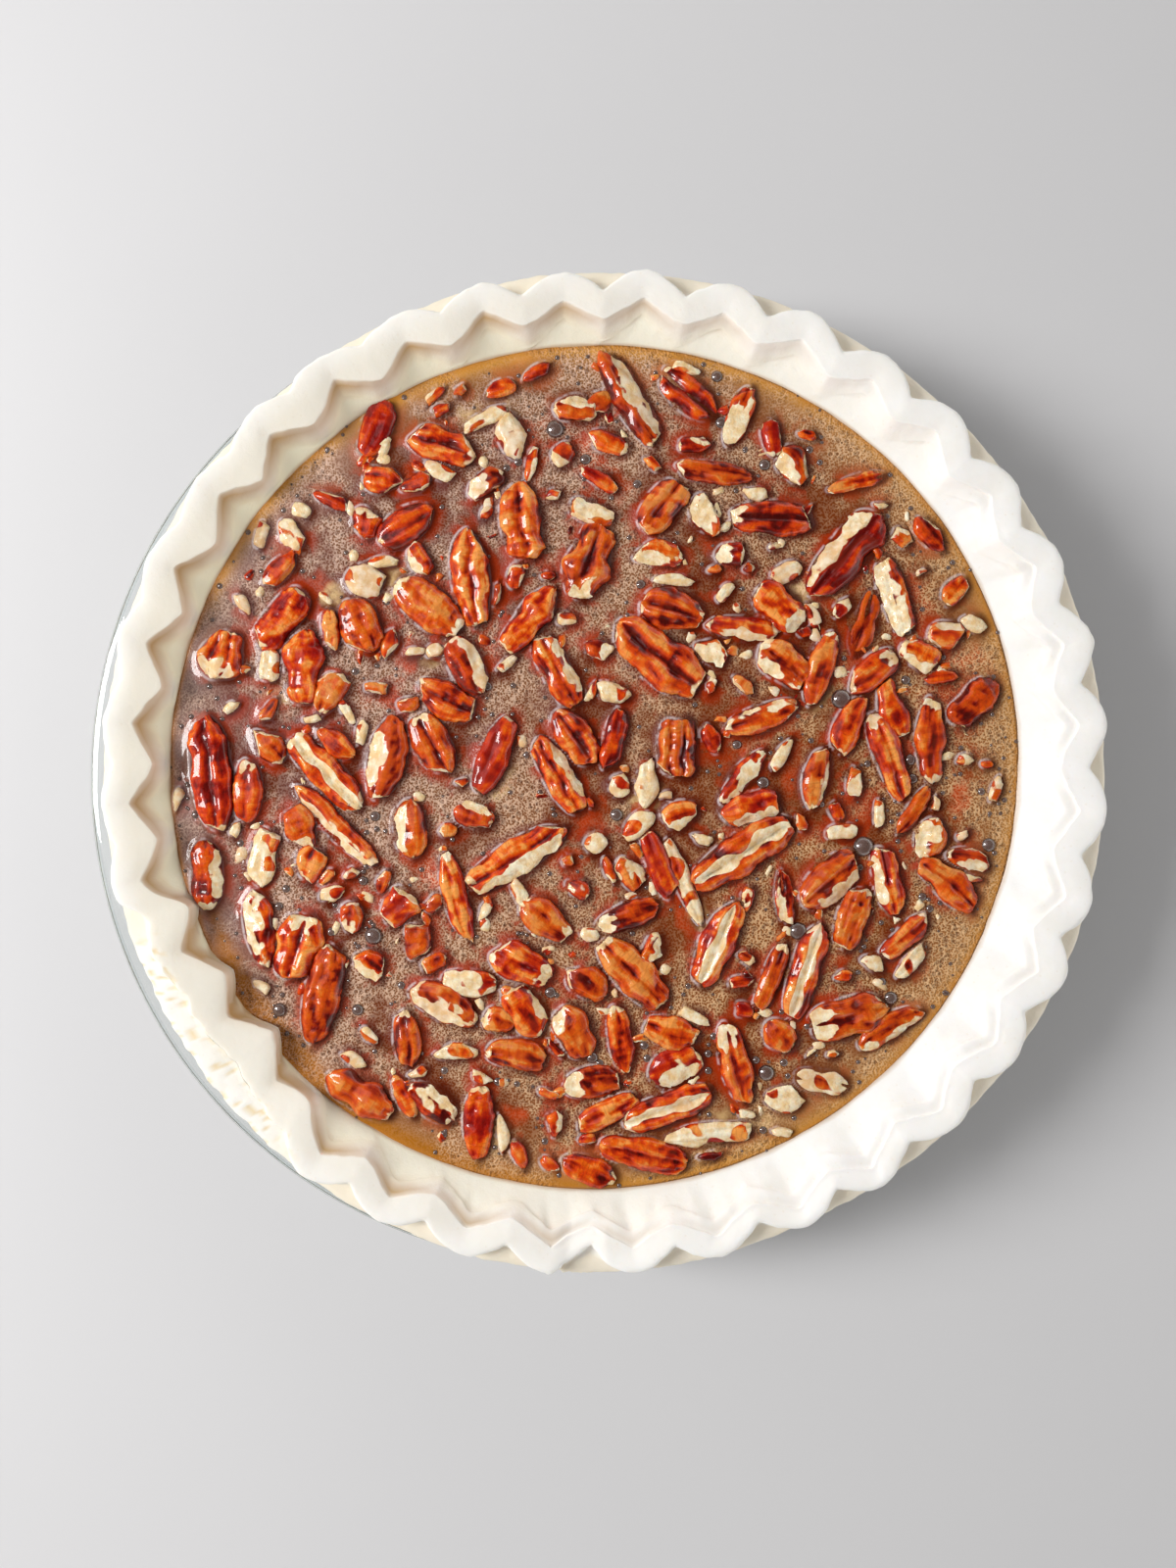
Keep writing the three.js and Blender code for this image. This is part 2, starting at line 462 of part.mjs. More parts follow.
// A large nut gives way to the wall and to the nuts listed before it.
const room = bowlRoom(2 * CLEARANCE, RIBBON_TOP);
const pockets = LARGE_NUTS.map(nutPocket);
LARGE_NUTS.forEach((nut, i) => {
  let solid = nutSolid(nut).intersect(room);
  for (const pocket of pockets.slice(0, i)) {
    if (solid.intersect(pocket).volume() > 0) solid = solid.subtract(pocket);
  }
  const place = nutPlace(nut);
  const local = largestPiece(solid).transform(place.clone().invert().toArray());
  const mesh = addPiece(pie, `pecan_${String(i + 1).padStart(2, '0')}`, toGeometry(local), 'pecan');
  place.decompose(mesh.position, mesh.quaternion, mesh.scale);
});

// The syrup takes in the stuck nuts, and leaves a pocket round each large one.
const roomForStuck = bowlRoom(CLEARANCE, RIBBON_TOP);
let filling = bowlRoom(CLEARANCE, SYRUP_LEVEL);
for (const nut of STUCK_NUTS) filling = filling.add(nutSolid(nut).intersect(roomForStuck));
for (const pocket of pockets) filling = filling.subtract(pocket);
addPiece(pie, 'filling', toGeometry(largestPiece(filling)), 'syrup');

export default pie;
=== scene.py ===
import math
from types import SimpleNamespace

import bmesh
import bpy
import numpy as np
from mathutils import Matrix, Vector


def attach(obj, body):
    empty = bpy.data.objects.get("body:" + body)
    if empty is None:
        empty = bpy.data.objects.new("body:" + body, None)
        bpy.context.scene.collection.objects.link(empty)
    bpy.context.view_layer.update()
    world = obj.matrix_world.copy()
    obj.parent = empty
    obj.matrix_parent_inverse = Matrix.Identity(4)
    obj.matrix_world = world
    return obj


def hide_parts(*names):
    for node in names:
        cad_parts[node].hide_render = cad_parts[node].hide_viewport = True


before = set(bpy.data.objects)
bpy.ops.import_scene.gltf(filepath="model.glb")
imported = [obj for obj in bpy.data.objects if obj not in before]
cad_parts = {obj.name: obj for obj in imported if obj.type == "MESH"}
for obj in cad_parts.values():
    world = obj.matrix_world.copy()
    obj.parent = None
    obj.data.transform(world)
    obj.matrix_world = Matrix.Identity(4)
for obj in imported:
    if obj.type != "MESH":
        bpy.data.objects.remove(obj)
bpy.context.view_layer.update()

MM = 0.001
SYRUP_LEVEL = 37.0
SYRUP_BOTTOM = 9.0
SYRUP_RADIUS = 106.3
SYRUP_LINES = 311              # points along each side of the syrup's net
BOWL_CENTRE = (4.05, 2.6)      # centre of the pastry bowl
RING_CENTRE = (6.5, 1.0)       # centre of its fluted ring
UNDERSIDE, FLOOR = 5.8, 8.8    # heights of the pastry's flat bottom
RIBBON_TOP = 47
RIBBON_OUTSIDE, RIBBON_TIPS, RIBBON_GROOVES = 122.9, 111.2, 116.4      # radii of the fluted ribbon
LIP_SLOPE = 1.38               # how far the pastry leans out per millimetre above the syrup
# Where each flute peaks, in degrees round the ring: they are pressed by hand, so not quite even.
FLUTE_PEAKS = [
    5.8, 15.6, 25.6, 35.6, 45.8, 55.6, 65.4, 75.4, 85.2, 95, 104.8, 114.6, 124.6, 134.8, 144.2,
    154.6, 164.2, 174, 183.7, 193.1, 202.9, 212.9, 223.1, 233.3, 243.1, 253.1, 263.5, 273.3,
    283.7, 294.2, 304.2, 315, 325.4, 335.4, 345, 355.4,
]

# ---- nuts and bubbles ----

# A nut's look is a digit from 0, dark red, to 9, bright orange. After it s is a cream stripe along
# the middle, c is cream nearly all over, and @angle/share is a broken cream face towards that side
# that takes that share of the nut.
# Large nuts: x, y, heading, length, width, cross-section, lift above the syrup, roll, broken ends
# and look.
LARGE_NUTS = [
    (20.8, 30.2, -38, 28, 12, "lobed", 2.6, 0, "", "7"),
    (41.2, -19, 33, 30.5, 10, "lobed", 2.6, 8, "", "6s"), (-92, 0.7, 97, 30, 9.8, "ridged", 3, 0, "", "3"),
    (67, 56, 50, 28, 10.5, "ridged", 2.4, 0, "", "2@140/.3"),
    (-16, -20.2, 33, 30, 8.5, "ridged", 2.6, -8, "", "8@-57/.3"),
    (13, 95, -60, 28, 8.5, "split", 2.4, -10, "", "5@30/.45"),
    (-26.4, 50, -84, 25, 9.5, "ridged", 2.4, 0, "", "8"),
    (-63.2, 1.3, -46, 25, 8.6, "lobed", 2.2, 0, "", "6s"),
    (-63.8, -54, 77, 26, 9, "smooth", 2.6, 0, "", "4"),
    (67.5, -60, 15, 21.5, 10.5, "ridged", 2.4, 0, "", "6@195/.3"),
    (2.8, 54, 72, 21, 10.5, "lobed", 2.8, 0, "", "8@-108/.2"),
    (-48.2, 5, 78, 22.5, 9, "smooth", 2.4, 0, "", "4@168/.3"),
    (16.4, -94.4, -12, 23, 8.4, "ridged", 2, 0, "", "6"),
    (22.4, -83, 20, 23.5, 8.6, "lobed", 2.2, 0, "", "5s"),
    (-54.6, -79.6, -32, 20, 8.6, "smooth", 2.6, 0, "", "6"),
    (-14, 64, -82, 20.5, 10, "ridged", 2.8, 0, "", "7"),
    (-70.4, -42.2, 73, 18, 11, "ridged", 2.8, 0, "", "8@73/.2"),
    (34.8, -41.8, 66, 24, 8.2, "ridged", 2.4, 0, "", "7s"),
    (57, -49, 73, 26, 7.4, "ridged", 2.4, 0, "", "7s"),
    (-37.4, 42.6, -38, 20.5, 9.5, "smooth", 2.8, 0, "", "8"),
    (63, -26, 42, 18.5, 10.2, "ridged", 2.6, 0, "", "7@-48/.25"),
    (-5, 0.5, -60, 21.5, 8.2, "ridged", 2.6, 0, "", "8@30/.25"),
    (77.6, 5.2, -70, 23.5, 7.2, "ridged", 2.4, 0, "", "8@110/.15"),
    (48, 64.6, -3, 22, 8.5, "ridged", 2.4, 0, "", "3@177/.2"),
    (-34.4, 83, -18, 18, 9, "ridged", 2.4, 0, "", "7"),
    (27.6, 96.2, -40, 19.5, 8.8, "lobed", 1, 0, "", "4"),
    (13.4, -49, -46, 23.5, 9, "ridged", 2.6, 0, "", "8"),
    (-68.6, 27.6, 88, 19, 9.3, "smooth", 2.6, 0, "", "6"),
    (23.6, 41.8, -15, 16.5, 10.2, "lobed", 2, 0, "", "6"),
    (-5.2, 26.6, -62, 21, 8, "ridged", 2.4, 0, "", "7@28/.25"),
    (-12.4, 39.4, 50, 20.5, 8, "smooth", 2.8, 0, "", "6"),
    (-74.4, 39.8, 52, 18.5, 9, "smooth", 2.4, 0, "", "5"),
    (-36.4, 8.4, -62, 17, 9.3, "ridged", 2.4, 0, "", "6@118/.15"),
    (-33.6, -57.4, -28, 18.5, 9, "split", 2.4, 0, "", "5@-118/.5"),
    (-60.6, -12, -45, 28.5, 5.8, "split", 2.2, 0, "", "7@-135/.4"),
    (-32.8, 20, -28, 17, 8.8, "ridged", 2.2, 0, "", "6"),
    (79.2, 45.4, -72, 21, 7.5, "split", 2.4, 0, "", "6@198/.55"),
    (-80.2, -38.2, -80, 19.5, 8, "split", 2, 0, "", "4@190/.5"),
    (-93.4, -24.6, 92, 17.5, 8.2, "smooth", 2.2, 0, "", "3@0/.2"),
    (-30.4, -30.2, -75, 24.5, 5.8, "split", 1.8, 0, "", "7"),
    (39.2, -71.8, -76, 21.5, 7.5, "ridged", 2.2, 0, "", "6@104/.25"),
    (-0.8, 9.9, -55, 16.5, 8.2, "lobed", 2.4, 0, "", "7"),
    (-14, -47, -25, 17, 8.5, "ridged", 2.4, 0, "", "7@-25/.2"),
    (24.8, 7.3, 88, 17.5, 9.6, "triple", 2.6, 0, "both", "6"),
    (21.2, 68, 52, 16, 9.4, "ridged", 2.6, 0, "end", "8"),
    (-21.3, 5.5, 68, 21.5, 7, "smooth", 2.2, 0, "", "3"),
    (51.6, 28.2, -38, 15.5, 9.8, "ridged", 2.6, 0, "", "7@-128/.3"),
    (43.2, -7.6, 15, 16, 8.6, "smooth", 2, 0, "", "5@-75/.25"),
    (50.4, 43, -42, 15.5, 9.4, "smooth", 2.8, 0, "", "6@-42/.2"),
    (99, 19, 45, 15, 8.8, "smooth", 2.2, 0, "", "2"),
    (77.6, -25.8, -78, 18, 7.5, "ridged", 2.2, 0, "", "7@192/.25"),
    (92.6, -27.2, -40, 19, 7.4, "ridged", 2.2, 0, "", "8"),
    (68.8, -35.4, 72, 17.5, 7.6, "split", 2.4, 0, "", "6"),
    (-24.8, -86.6, 88, 19, 7.4, "smooth", 2.2, 0, "", "4"),
    (33.2, -89.6, 6, 24, 6, "smooth", 1.4, 0, "", "7c"),
    (-89, 31, 72, 14, 10.4, "triple", 2.6, 0, "end", "7@-108/.25"),
    (-54.5, 38, -65, 14.5, 9.8, "smooth", 2.8, 0, "", "5"),
]
# Smaller pieces: x, y, heading, length, width, lift and look.
STUCK_NUTS = [
    (-45.2, -32.6, 45, 13, 9.5, 2, "6"), (-43, 63, 33, 16, 8.5, 2.2, "4"),
    (-28, 28, -62, 16, 8.6, 2.4, "6@25/.35"), (-51, 87.5, 68, 15.5, 8.5, 2, "4"),
    (24.4, -72.2, 25, 14.5, 9.4, 2, "5@-65/.4"), (46, 15, 18, 19, 7, 1.8, "7@108/.3"),
    (7.4, -83.6, 27, 18.5, 6.5, 2, "8"), (-1.2, -63.8, -62, 15, 9, 2.2, "7@150/.25"),
    (-13.2, -58.6, -55, 14.5, 8.5, 2.2, "7@35/.2"), (-15.6, -69.8, -8, 15.5, 8, 1.8, "8"),
    (-8, -35.8, -38, 15.5, 8, 2.2, "8@-38/.2"), (-41.6, -13, -88, 15, 8.5, 2.2, "7@180/.3"),
    (61, 27, 72, 20, 6, 2.4, "8"), (79.2, 17.4, -72, 16, 6.6, 2, "8"),
    (74, 26.4, 40, 15, 7.6, 2.2, "6@40/.2"), (68.4, 12.8, 68, 16, 6.3, 2, "6"),
    (88.6, 9.5, 90, 22, 7, 2, "6@90/.2"), (71.4, 38.6, 72, 18, 6.5, 0.6, "4"),
    (41.2, 37.4, -8, 19.5, 6, 1.5, "6@-98/.3"), (26.6, -26.2, -68, 25, 4.6, 1.2, "7c"),
    (20.4, -21.8, -68, 18.5, 6.4, 2, "5"), (60, 0, 80, 16.5, 6.5, 2, "8@-10/.3"),
    (41.2, 0.2, 52, 17, 5.4, 1.4, "5@-38/.5"), (-27.6, -51, -5, 15, 7.2, 2, "5c"),
    (61, -76.4, -12, 14.5, 6.5, 0.8, "6c"), (78.6, -63.2, 31, 19, 6, 1.5, "7@-59/.4"),
    (2.8, -98.8, -22, 15, 6.8, 1.4, "6"), (3.6, -76.8, 8, 15, 8.4, 2, "4@188/.3"),
    (10.4, -65.8, -80, 18, 6.4, 1.2, "6"), (23.2, -63.4, -15, 15, 7.4, 2, "8"),
    (-43.2, -65.8, -85, 15, 6.4, 1.8, "5"), (-36.8, -81.8, -35, 14.5, 8, 1.6, "3@55/.4"),
    (-70, -12.6, -72, 13, 8, 2.4, "5@-72/.2"), (-78.4, -19.8, 80, 15, 7, 2, "7c"),
    (-83, -3.5, 88, 17, 7.2, 2, "6@88/.2"), (-67.2, -21.8, 70, 11, 6.8, 1.8, "8"),
    (8.6, 9.8, 75, 16, 5.4, 2, "3"), (12.4, -34.6, 18, 16, 6.8, 2, "3@198/.25"),
    (81.6, -39.8, 42, 16, 5.4, 1.8, "8"), (83.2, -46.2, 52, 13.5, 5, 1.2, "7c"),
    (52, -30.2, -83, 16, 5.2, 0.8, "5@187/.4"), (48.2, -50.2, 68, 18.5, 5, 2, "7"),
    (34, 76.4, -7, 20, 5.8, 1.8, "6"), (40.4, 90.6, 68, 17, 6, 1.8, "7@-112/.6"),
    (54, 77.6, -60, 11.5, 9, 2.2, "5@205/.4"), (32, 65.4, -70, 12, 8.6, 2, "5@160/.6"),
    (88.4, -15.4, 70, 11, 8.8, 2.4, "5@160/.5"), (-16.8, 85.8, -60, 13, 7.8, 2, "4c"),
    (-48.8, 74.6, -10, 10.5, 8.6, 1.8, "6"), (70, 73.8, 15, 16.5, 4, 0.8, "7"),
    (85.6, 30.6, -25, 10.5, 8.4, 2.2, "6@-115/.25"), (92.4, 35.6, 0, 9.5, 8.4, 2.2, "7@90/.3"),
    (20, 55.8, -8, 13.5, 8, 1.8, "7@-98/.4"), (3, 66.5, -20, 13, 6.4, 2, "7@70/.5"),
    (-62, 21.8, 65, 12.5, 8, 2, "8"), (-61, 9.2, -40, 12, 6, 2, "7"), (-53.5, 50, -35, 12, 8.8, 1.8, "6c"),
    (-74.4, 52.2, 45, 12, 6.4, 1.8, "6"), (-77.2, 7.8, -45, 12, 7.2, 1.8, "6"),
    (-62.4, 37.8, -85, 12.5, 4.8, 2, "8"), (-40, 54.2, -60, 10.5, 6, 2, "6@210/.3"),
    (-26.4, -9.4, -20, 11, 7, 2, "5@70/.25"), (-40.4, -40.6, -80, 11, 8, 2, "5"),
    (25.6, -9.8, 20, 10.5, 7, 2, "7@-70/.3"), (2, -51.5, -30, 12, 8.8, 2, "4"),
    (50.8, -65, -50, 10, 8.6, 2, "6"), (51.5, -80.5, -10, 11, 7.2, 0.8, "4c"),
    (98.4, -20.6, -12, 12.5, 6, 1.4, "5@-100/.35"), (-0.4, 92, -10, 11.5, 7.4, 2, "7@80/.3"),
    (16.8, -1, 85, 13.5, 5.4, 1.6, "6c"), (84, -8.2, 56, 15, 4.2, 1.2, "6"),
    (13, -24, -60, 10.5, 7, 1.6, "5@30/.3"), (-23.2, 73.2, 35, 10.5, 6.4, 2, "2@180/.4"),
    (38.4, 56.2, 0, 8.5, 6.5, 2.2, "3@180/.5"), (33.6, 31.4, -35, 9.6, 7, 2, "7@-125/.6"),
    (-72, 60.5, -60, 9.5, 7, 1.6, "6c"), (-77.4, 28.2, 85, 9, 6, 1.6, "7c"),
    (48.6, 85.8, -82, 10.5, 6, 1.8, "2"), (88.4, 61.2, -50, 11, 6, 1.6, "3"),
    (8.8, 21, -22, 9.5, 6, 1.8, "4c"), (-44.2, -80, -62, 12.5, 5.2, 1.2, "8"),
    (18.4, -43.4, 60, 9, 6.4, 1.8, "5@0/.4"), (-52.5, -46.5, -35, 10, 7.8, 2, "6@-125/.3"),
    (-56.8, -35, 80, 8.5, 7, 2, "5@-100/.3"), (-20, -61, -15, 8.5, 7, 2, "8"),
    (52, 51, 28, 10, 5.4, 1.8, "4c"), (-53, 63.8, 80, 9.5, 8, 1.8, "5@90/.3"),
    (95.2, 47, 50, 10, 6.4, 1, "7"),
]
# Crumbs: x, y, heading, length, width and look.
CRUMBS = [
    (-62, 69.5, -22, 10, 4.5, "2"), (-69.6, 67.2, -45, 6, 5, "5c"), (-79.2, 61, 75, 9, 3.5, "5c"),
    (-48.8, 82.8, 55, 6, 4, "6c"), (-34.8, 77, -25, 10, 4.5, "5c"), (-40.4, 73.8, 20, 9, 6, "2"),
    (-22.8, 89.4, 22, 15, 4, "4c"), (-11.6, 79, 80, 11, 3.5, "6c"), (-4.4, 81, 40, 7.5, 5, "4c"),
    (5.6, 94.2, 40, 9, 6, "7"), (-19.6, 97.4, 15, 10, 4.5, "5"), (-10, 102, 25, 11, 4, "2"),
    (-36, 95.4, 40, 8.5, 3, "6c"), (-34.4, 92.2, 30, 6.5, 3.6, "5"), (-29.6, 96.8, 50, 4.5, 3, "8"),
    (-23.4, 66.6, 45, 4.5, 3, "6c"), (7, 84, -20, 12, 6.5, "6"), (6, 74, -32, 13, 4.5, "6"),
    (27, 102.4, -15, 9, 3, "6c"), (29.2, 83.8, 8, 10, 5.4, "2@90/.4"), (57.8, 86.2, -10, 6, 3, "8"),
    (18.8, 78.8, -42, 6.5, 3, "8"), (44.4, 70.8, -10, 7.5, 4, "6c"), (75.6, 68.2, 0, 5, 2, "6c"),
    (81.2, 60.2, -30, 8, 5, "7@90/.3"), (-84.2, 43.4, -62, 7.5, 3, "6c"), (-49, 54, 0, 8, 4, "6c"),
    (-58, 16.6, -60, 9, 3, "6c"), (-66.5, 14.6, 5, 6.5, 3, "7c"), (-54.2, 11, 75, 8, 3.6, "6c"),
    (-77.6, 16.6, 55, 7.5, 3.5, "7"), (-87.2, 17.4, 45, 5.5, 2.5, "6c"), (-84, 27, 0, 4, 3, "5"),
    (-20.4, 46, 85, 8, 2.5, "2"), (-15.6, 51, 80, 8, 5, "6c"), (-7.5, 50.4, 0, 4, 3, "2"),
    (-41, 31.4, 5, 7.5, 2.5, "6c"), (-35.4, 31.6, 20, 6, 4, "7c"), (-47, 33.5, 75, 9, 4, "7"),
    (-42.6, 18.4, 40, 6, 5, "4"), (-18.4, 28.4, 40, 8, 2.5, "6c"), (-3.2, 39.8, -10, 6, 4, "7c"),
    (4.8, 32.2, -10, 9.5, 6, "5@0/.3"), (3.6, 22, 70, 5, 2.5, "6c"), (-50.8, 22.4, 0, 8, 4, "7"),
    (24, 49.6, -3, 12, 3.6, "3c"), (34, 52, 0, 4, 2.5, "7"), (43, 52.5, 0, 3.4, 3, "2"),
    (37, 46.4, 55, 7.5, 3.5, "7c"), (49.4, 57.8, 20, 4, 2.5, "6c"), (58.6, 40.8, -65, 8, 3.6, "6c"),
    (56.8, 36, 0, 4.5, 3, "4"), (33.2, 23.2, 70, 4.5, 3, "6c"), (41.2, 23.2, -30, 8, 3.5, "8"),
    (33.8, 10.4, -58, 9.5, 5, "2"), (10.4, -1.6, 60, 7, 6, "5c"), (51, 5.8, 60, 11, 3.2, "7c"),
    (66.4, 42.8, 55, 8, 4.4, "5c"), (86, 51.4, 30, 4, 2, "6c"), (99.2, 38.6, -30, 8, 5.5, "5c"),
    (91, 25.2, 5, 9, 4.4, "3"), (97.4, 4.2, 0, 5, 3, "6c"), (102.4, 3, 0, 4, 2.5, "4"),
    (-100.4, -5.6, 78, 6.5, 2.8, "6c"), (-62.8, -25, 45, 6, 3.5, "8"), (-57, -24, 30, 5, 2.5, "3c"),
    (-62, -29.4, 25, 7.5, 5, "3c"), (-58.6, -47.6, 60, 5, 2.5, "6c"), (-79.6, -52.6, -35, 6, 3, "2c"),
    (-32.6, -13, 0, 6, 4, "7"), (-14.8, -28.6, -70, 8, 4.6, "5c"), (-23.5, -33.4, 60, 6.5, 3.5, "5c"),
    (0.4, -28.2, -30, 8, 5.5, "2@120/.4"), (4.4, -16.6, 40, 7.5, 5, "6c"), (-2.6, -21, 0, 4, 3, "7"),
    (-48.8, -25.8, 72, 7, 4, "5"), (-36.4, -31.6, 20, 5.5, 5, "5"), (-36.8, -46.6, 25, 8, 4.6, "5"),
    (-16.6, -54.2, -20, 7, 3.2, "6c"), (3, -39.6, -10, 6, 4, "6c"), (3, -6.4, -50, 4, 2.5, "7"),
    (22, -4.6, 5, 4.5, 3, "6c"), (15.2, -12.2, 48, 12, 5.4, "6c"), (31, -15.6, -20, 7, 3.4, "3c"),
    (56, -11.4, -60, 5, 3.5, "7"), (8, -23.6, -65, 8.5, 3.2, "5"), (42.4, -30.4, 75, 7, 4.4, "6@180/.5"),
    (42.6, -45.6, -35, 6, 3.4, "2c"), (40.8, -51.4, 5, 8, 3.8, "5"), (69.4, -1, 88, 9, 4.4, "7@-90/.4"),
    (64.6, -8.2, -70, 6.5, 4, "5"), (66, -14, 5, 9.5, 5, "5c"), (75.4, -9, 88, 10, 3.2, "7c"),
    (89.6, -6.4, 80, 5.5, 2.2, "6c"), (96.6, -14.4, 30, 4, 3, "6c"), (97.8, -25.4, -5, 8, 2.6, "6c"),
    (105, -3, 68, 9, 3, "6c"), (73.8, -46.4, -25, 7, 4.6, "5c"), (-56.5, -71, -35, 8, 3.4, "5c"),
    (-40.6, -74.2, 10, 6, 3.4, "5c"), (-30.8, -69, 0, 12, 5, "7c"), (-5.6, -68, -45, 7, 2.5, "2"),
    (-24.4, -75.2, -30, 7, 3.4, "6c"), (-19.4, -89.6, -84, 11, 3, "6c"), (-15, -94.6, -65, 8, 4.6, "5"),
    (-7.4, -79.4, -15, 6, 3, "5"), (-5.6, -86.6, -80, 8, 5, "5@0/.3"), (-6.8, -97, -35, 6, 3.5, "6"),
    (28.8, -60, -28, 10, 3.4, "6c"), (41.8, -58.4, -15, 6, 4, "5"), (58.5, -68.8, 40, 4, 1.8, "6c"),
    (64, -69.6, 10, 4, 1.8, "6c"), (42.5, -84.8, -15, 6, 2.2, "6c"), (51, -89, -8, 7.5, 2.5, "6c"),
    (33, -95, 12, 7, 2.5, "2"), (2.5, -91, 0, 5, 3, "5"), (-52.2, -65, -50, 6, 3.6, "5c"),
    (66.6, -50, 0, 5, 3, "5"), (-86, -13.4, 60, 5, 3, "6c"), (36.6, 62.4, 30, 5, 2.4, "6c"),
    (57, 66.4, 40, 5, 2.4, "7"), (-6, 71, 30, 5, 3, "6c"), (-29, -1, 20, 5, 3, "6c"),
]
# Large glassy bubbles: x, y and diameter.
BUBBLES = [
    (-5.8, 87.4, 4.6), (-15, 79.2, 2.6), (-18, 77.6, 2), (1.8, 79.8, 2.8), (36, 89, 3.2), (46.8, 78.4, 3),
    (14.8, 73.6, 2.2), (34.8, 100.6, 3), (58, 82.2, 2), (60.6, 79, 1.6), (77.4, 65.4, 1.8),
    (-79.4, 51.6, 1.6), (-56, 26.6, 2), (-48.2, 44.2, 2.2), (-22.8, 22.8, 2.4), (-13, 5.6, 1.8),
    (15.7, 48.4, 2.4), (12.4, 40.6, 1.6), (39.8, 8.2, 2.4), (48.3, 6.1, 1.5), (50.8, 9.6, 1.6),
    (58.4, 9.2, 1.5), (66, 19.6, 5.2), (72.6, 3.4, 1.8), (82.8, 36.4, 1.8), (82.2, 24.4, 2.4),
    (104, 25, 1.8), (72.2, 51.6, 1.4), (83.4, 4.4, 3), (84, -0.4, 2.6), (101.2, -3.6, 2), (-96, -9.4, 2.2),
    (-84.8, -16.6, 2), (-73.4, -28, 2), (-75.2, -32.4, 2.2), (-54, -26, 2.4), (-53.2, -22.4, 1.6),
    (-62, -38.8, 2.4), (-51, -9.8, 2.6), (-50.6, -13, 1.5), (-44.4, -52.2, 2), (-6, -9.4, 1.6),
    (-51.4, -39.8, 4.6), (9.6, -9.4, 3.3), (46.4, -1.4, 3.2), (55.2, -38.6, 4.6), (103, -17, 3.6),
    (71.6, -17.4, 5.2), (86.4, -30, 2.2), (88.2, -33, 2), (79.6, -6, 1.4), (80.4, -9.4, 1.4),
    (76.2, -51.4, 2.2), (78.4, -55.4, 3.4), (70.8, -22.6, 1.6), (-75, -58.4, 3.6), (-55.4, -58.4, 3),
    (-20.2, -76.4, 2.2), (-15.4, -77, 1.6), (-33.6, -73.6, 2), (-33.8, -89.6, 2), (-8.4, -91.4, 1.8),
    (3.5, -70.4, 3), (-7, -54, 3), (16.6, -67.3, 2.4), (17.4, -70.6, 2.4), (5.4, -71.8, 2), (34, -65, 2),
    (32.6, -69.4, 2), (32.6, -73.6, 2), (47.2, -74.2, 4.2), (51.6, -71.6, 2.2), (52.6, -75, 1.6),
    (44.6, -71, 2), (57.6, -62.4, 2.4), (30, -78.4, 2), (46.4, -88.6, 2), (27.6, -52.4, 1.6),
    (-67, -84, 1.8), (-90, 48, 1.6),
]
# Pieces that only show through the syrup: x, y, heading, length, width, and red or cream.
SUNKEN = [
    (-22.5, 30.5, 50, 10, 5, "red"), (-18.5, -1, 62, 13, 4, "cream"), (84.5, 43, -70, 20, 8, "red"),
    (-34.5, -27, -75, 14, 5, "red"), (26.4, -35, -68, 11, 5, "red"), (82, -30, -75, 12, 4.5, "red"),
    (66.5, -45, 72, 11, 4, "red"), (-42, 75, 15, 14, 9, "red"), (-10, 79, 85, 14, 4, "red"),
    (7, 75, -32, 18, 8, "red"), (4, 84, -20, 14, 9, "red"), (-20, 47, -84, 16, 4, "red"),
    (-46, 52, 40, 12, 5, "cream"), (-50, 21, 10, 12, 7, "red"), (-35, 31, 20, 12, 6, "cream"),
    (58, -58, 15, 14, 8, "red"), (-2, 91, 0, 16, 10, "red"), (95, 29, 10, 18, 9, "red"),
    (90, 20, 60, 12, 9, "red"), (-17, -85, 0, 9, 6, "red"), (-20, -90, -84, 14, 5, "cream"),
    (12, -70, -80, 14, 8, "red"), (-37, -24, 20, 10, 7, "red"), (-3, -21, 0, 9, 6, "red"),
    (16, -7, 48, 14, 7, "cream"), (53.5, 1, 80, 14, 5, "red"), (36, 60, 20, 12, 8, "red"),
    (60, 20, 60, 10, 6, "cream"), (-83, 33, 70, 10, 5, "red"), (-76, 21, 0, 7, 6, "cream"),
    (-70, -63, 20, 8, 6, "red"), (-33, -14, 10, 12, 6, "red"), (-56, -30, 0, 10, 6, "red"),
    (96, -5, 80, 12, 5, "red"), (30, -34, -68, 18, 5, "cream"), (43, -86, -10, 20, 6, "cream"),
    (-61, 46, 30, 9, 6, "cream"), (72, -10, 80, 14, 5, "red"), (-24, 91, 20, 18, 7, "cream"),
    (-12, 104, 15, 18, 5, "red"), (56, 44, -60, 12, 7, "cream"), (-66, 48, 10, 8, 7, "red"),
    (40, 6, 60, 16, 5, "red"), (3, -10, 40, 12, 8, "red"), (-43, 30, 70, 12, 6, "red"),
]

# ---- node trees ----


class Value:
    """An output of a node that can be added, subtracted and multiplied like a number."""

    def __init__(self, nodes, socket):
        self.nodes = nodes
        self.socket = socket

    def out(self, name):
        return Value(self.nodes, self.socket.node.outputs[name])

    def maths(self, operation, first, second):
        return self.nodes.add("ShaderNodeMath", {"operation": operation}, {0: first, 1: second})

    def __add__(self, other):
        return self.maths("ADD", self, other)

    def __radd__(self, other):
        return self.maths("ADD", other, self)

    def __sub__(self, other):
        return self.maths("SUBTRACT", self, other)

    def __rsub__(self, other):
        return self.maths("SUBTRACT", other, self)

    def __mul__(self, other):
        return self.maths("MULTIPLY", self, other)

    def __rmul__(self, other):
        return self.maths("MULTIPLY", other, self)


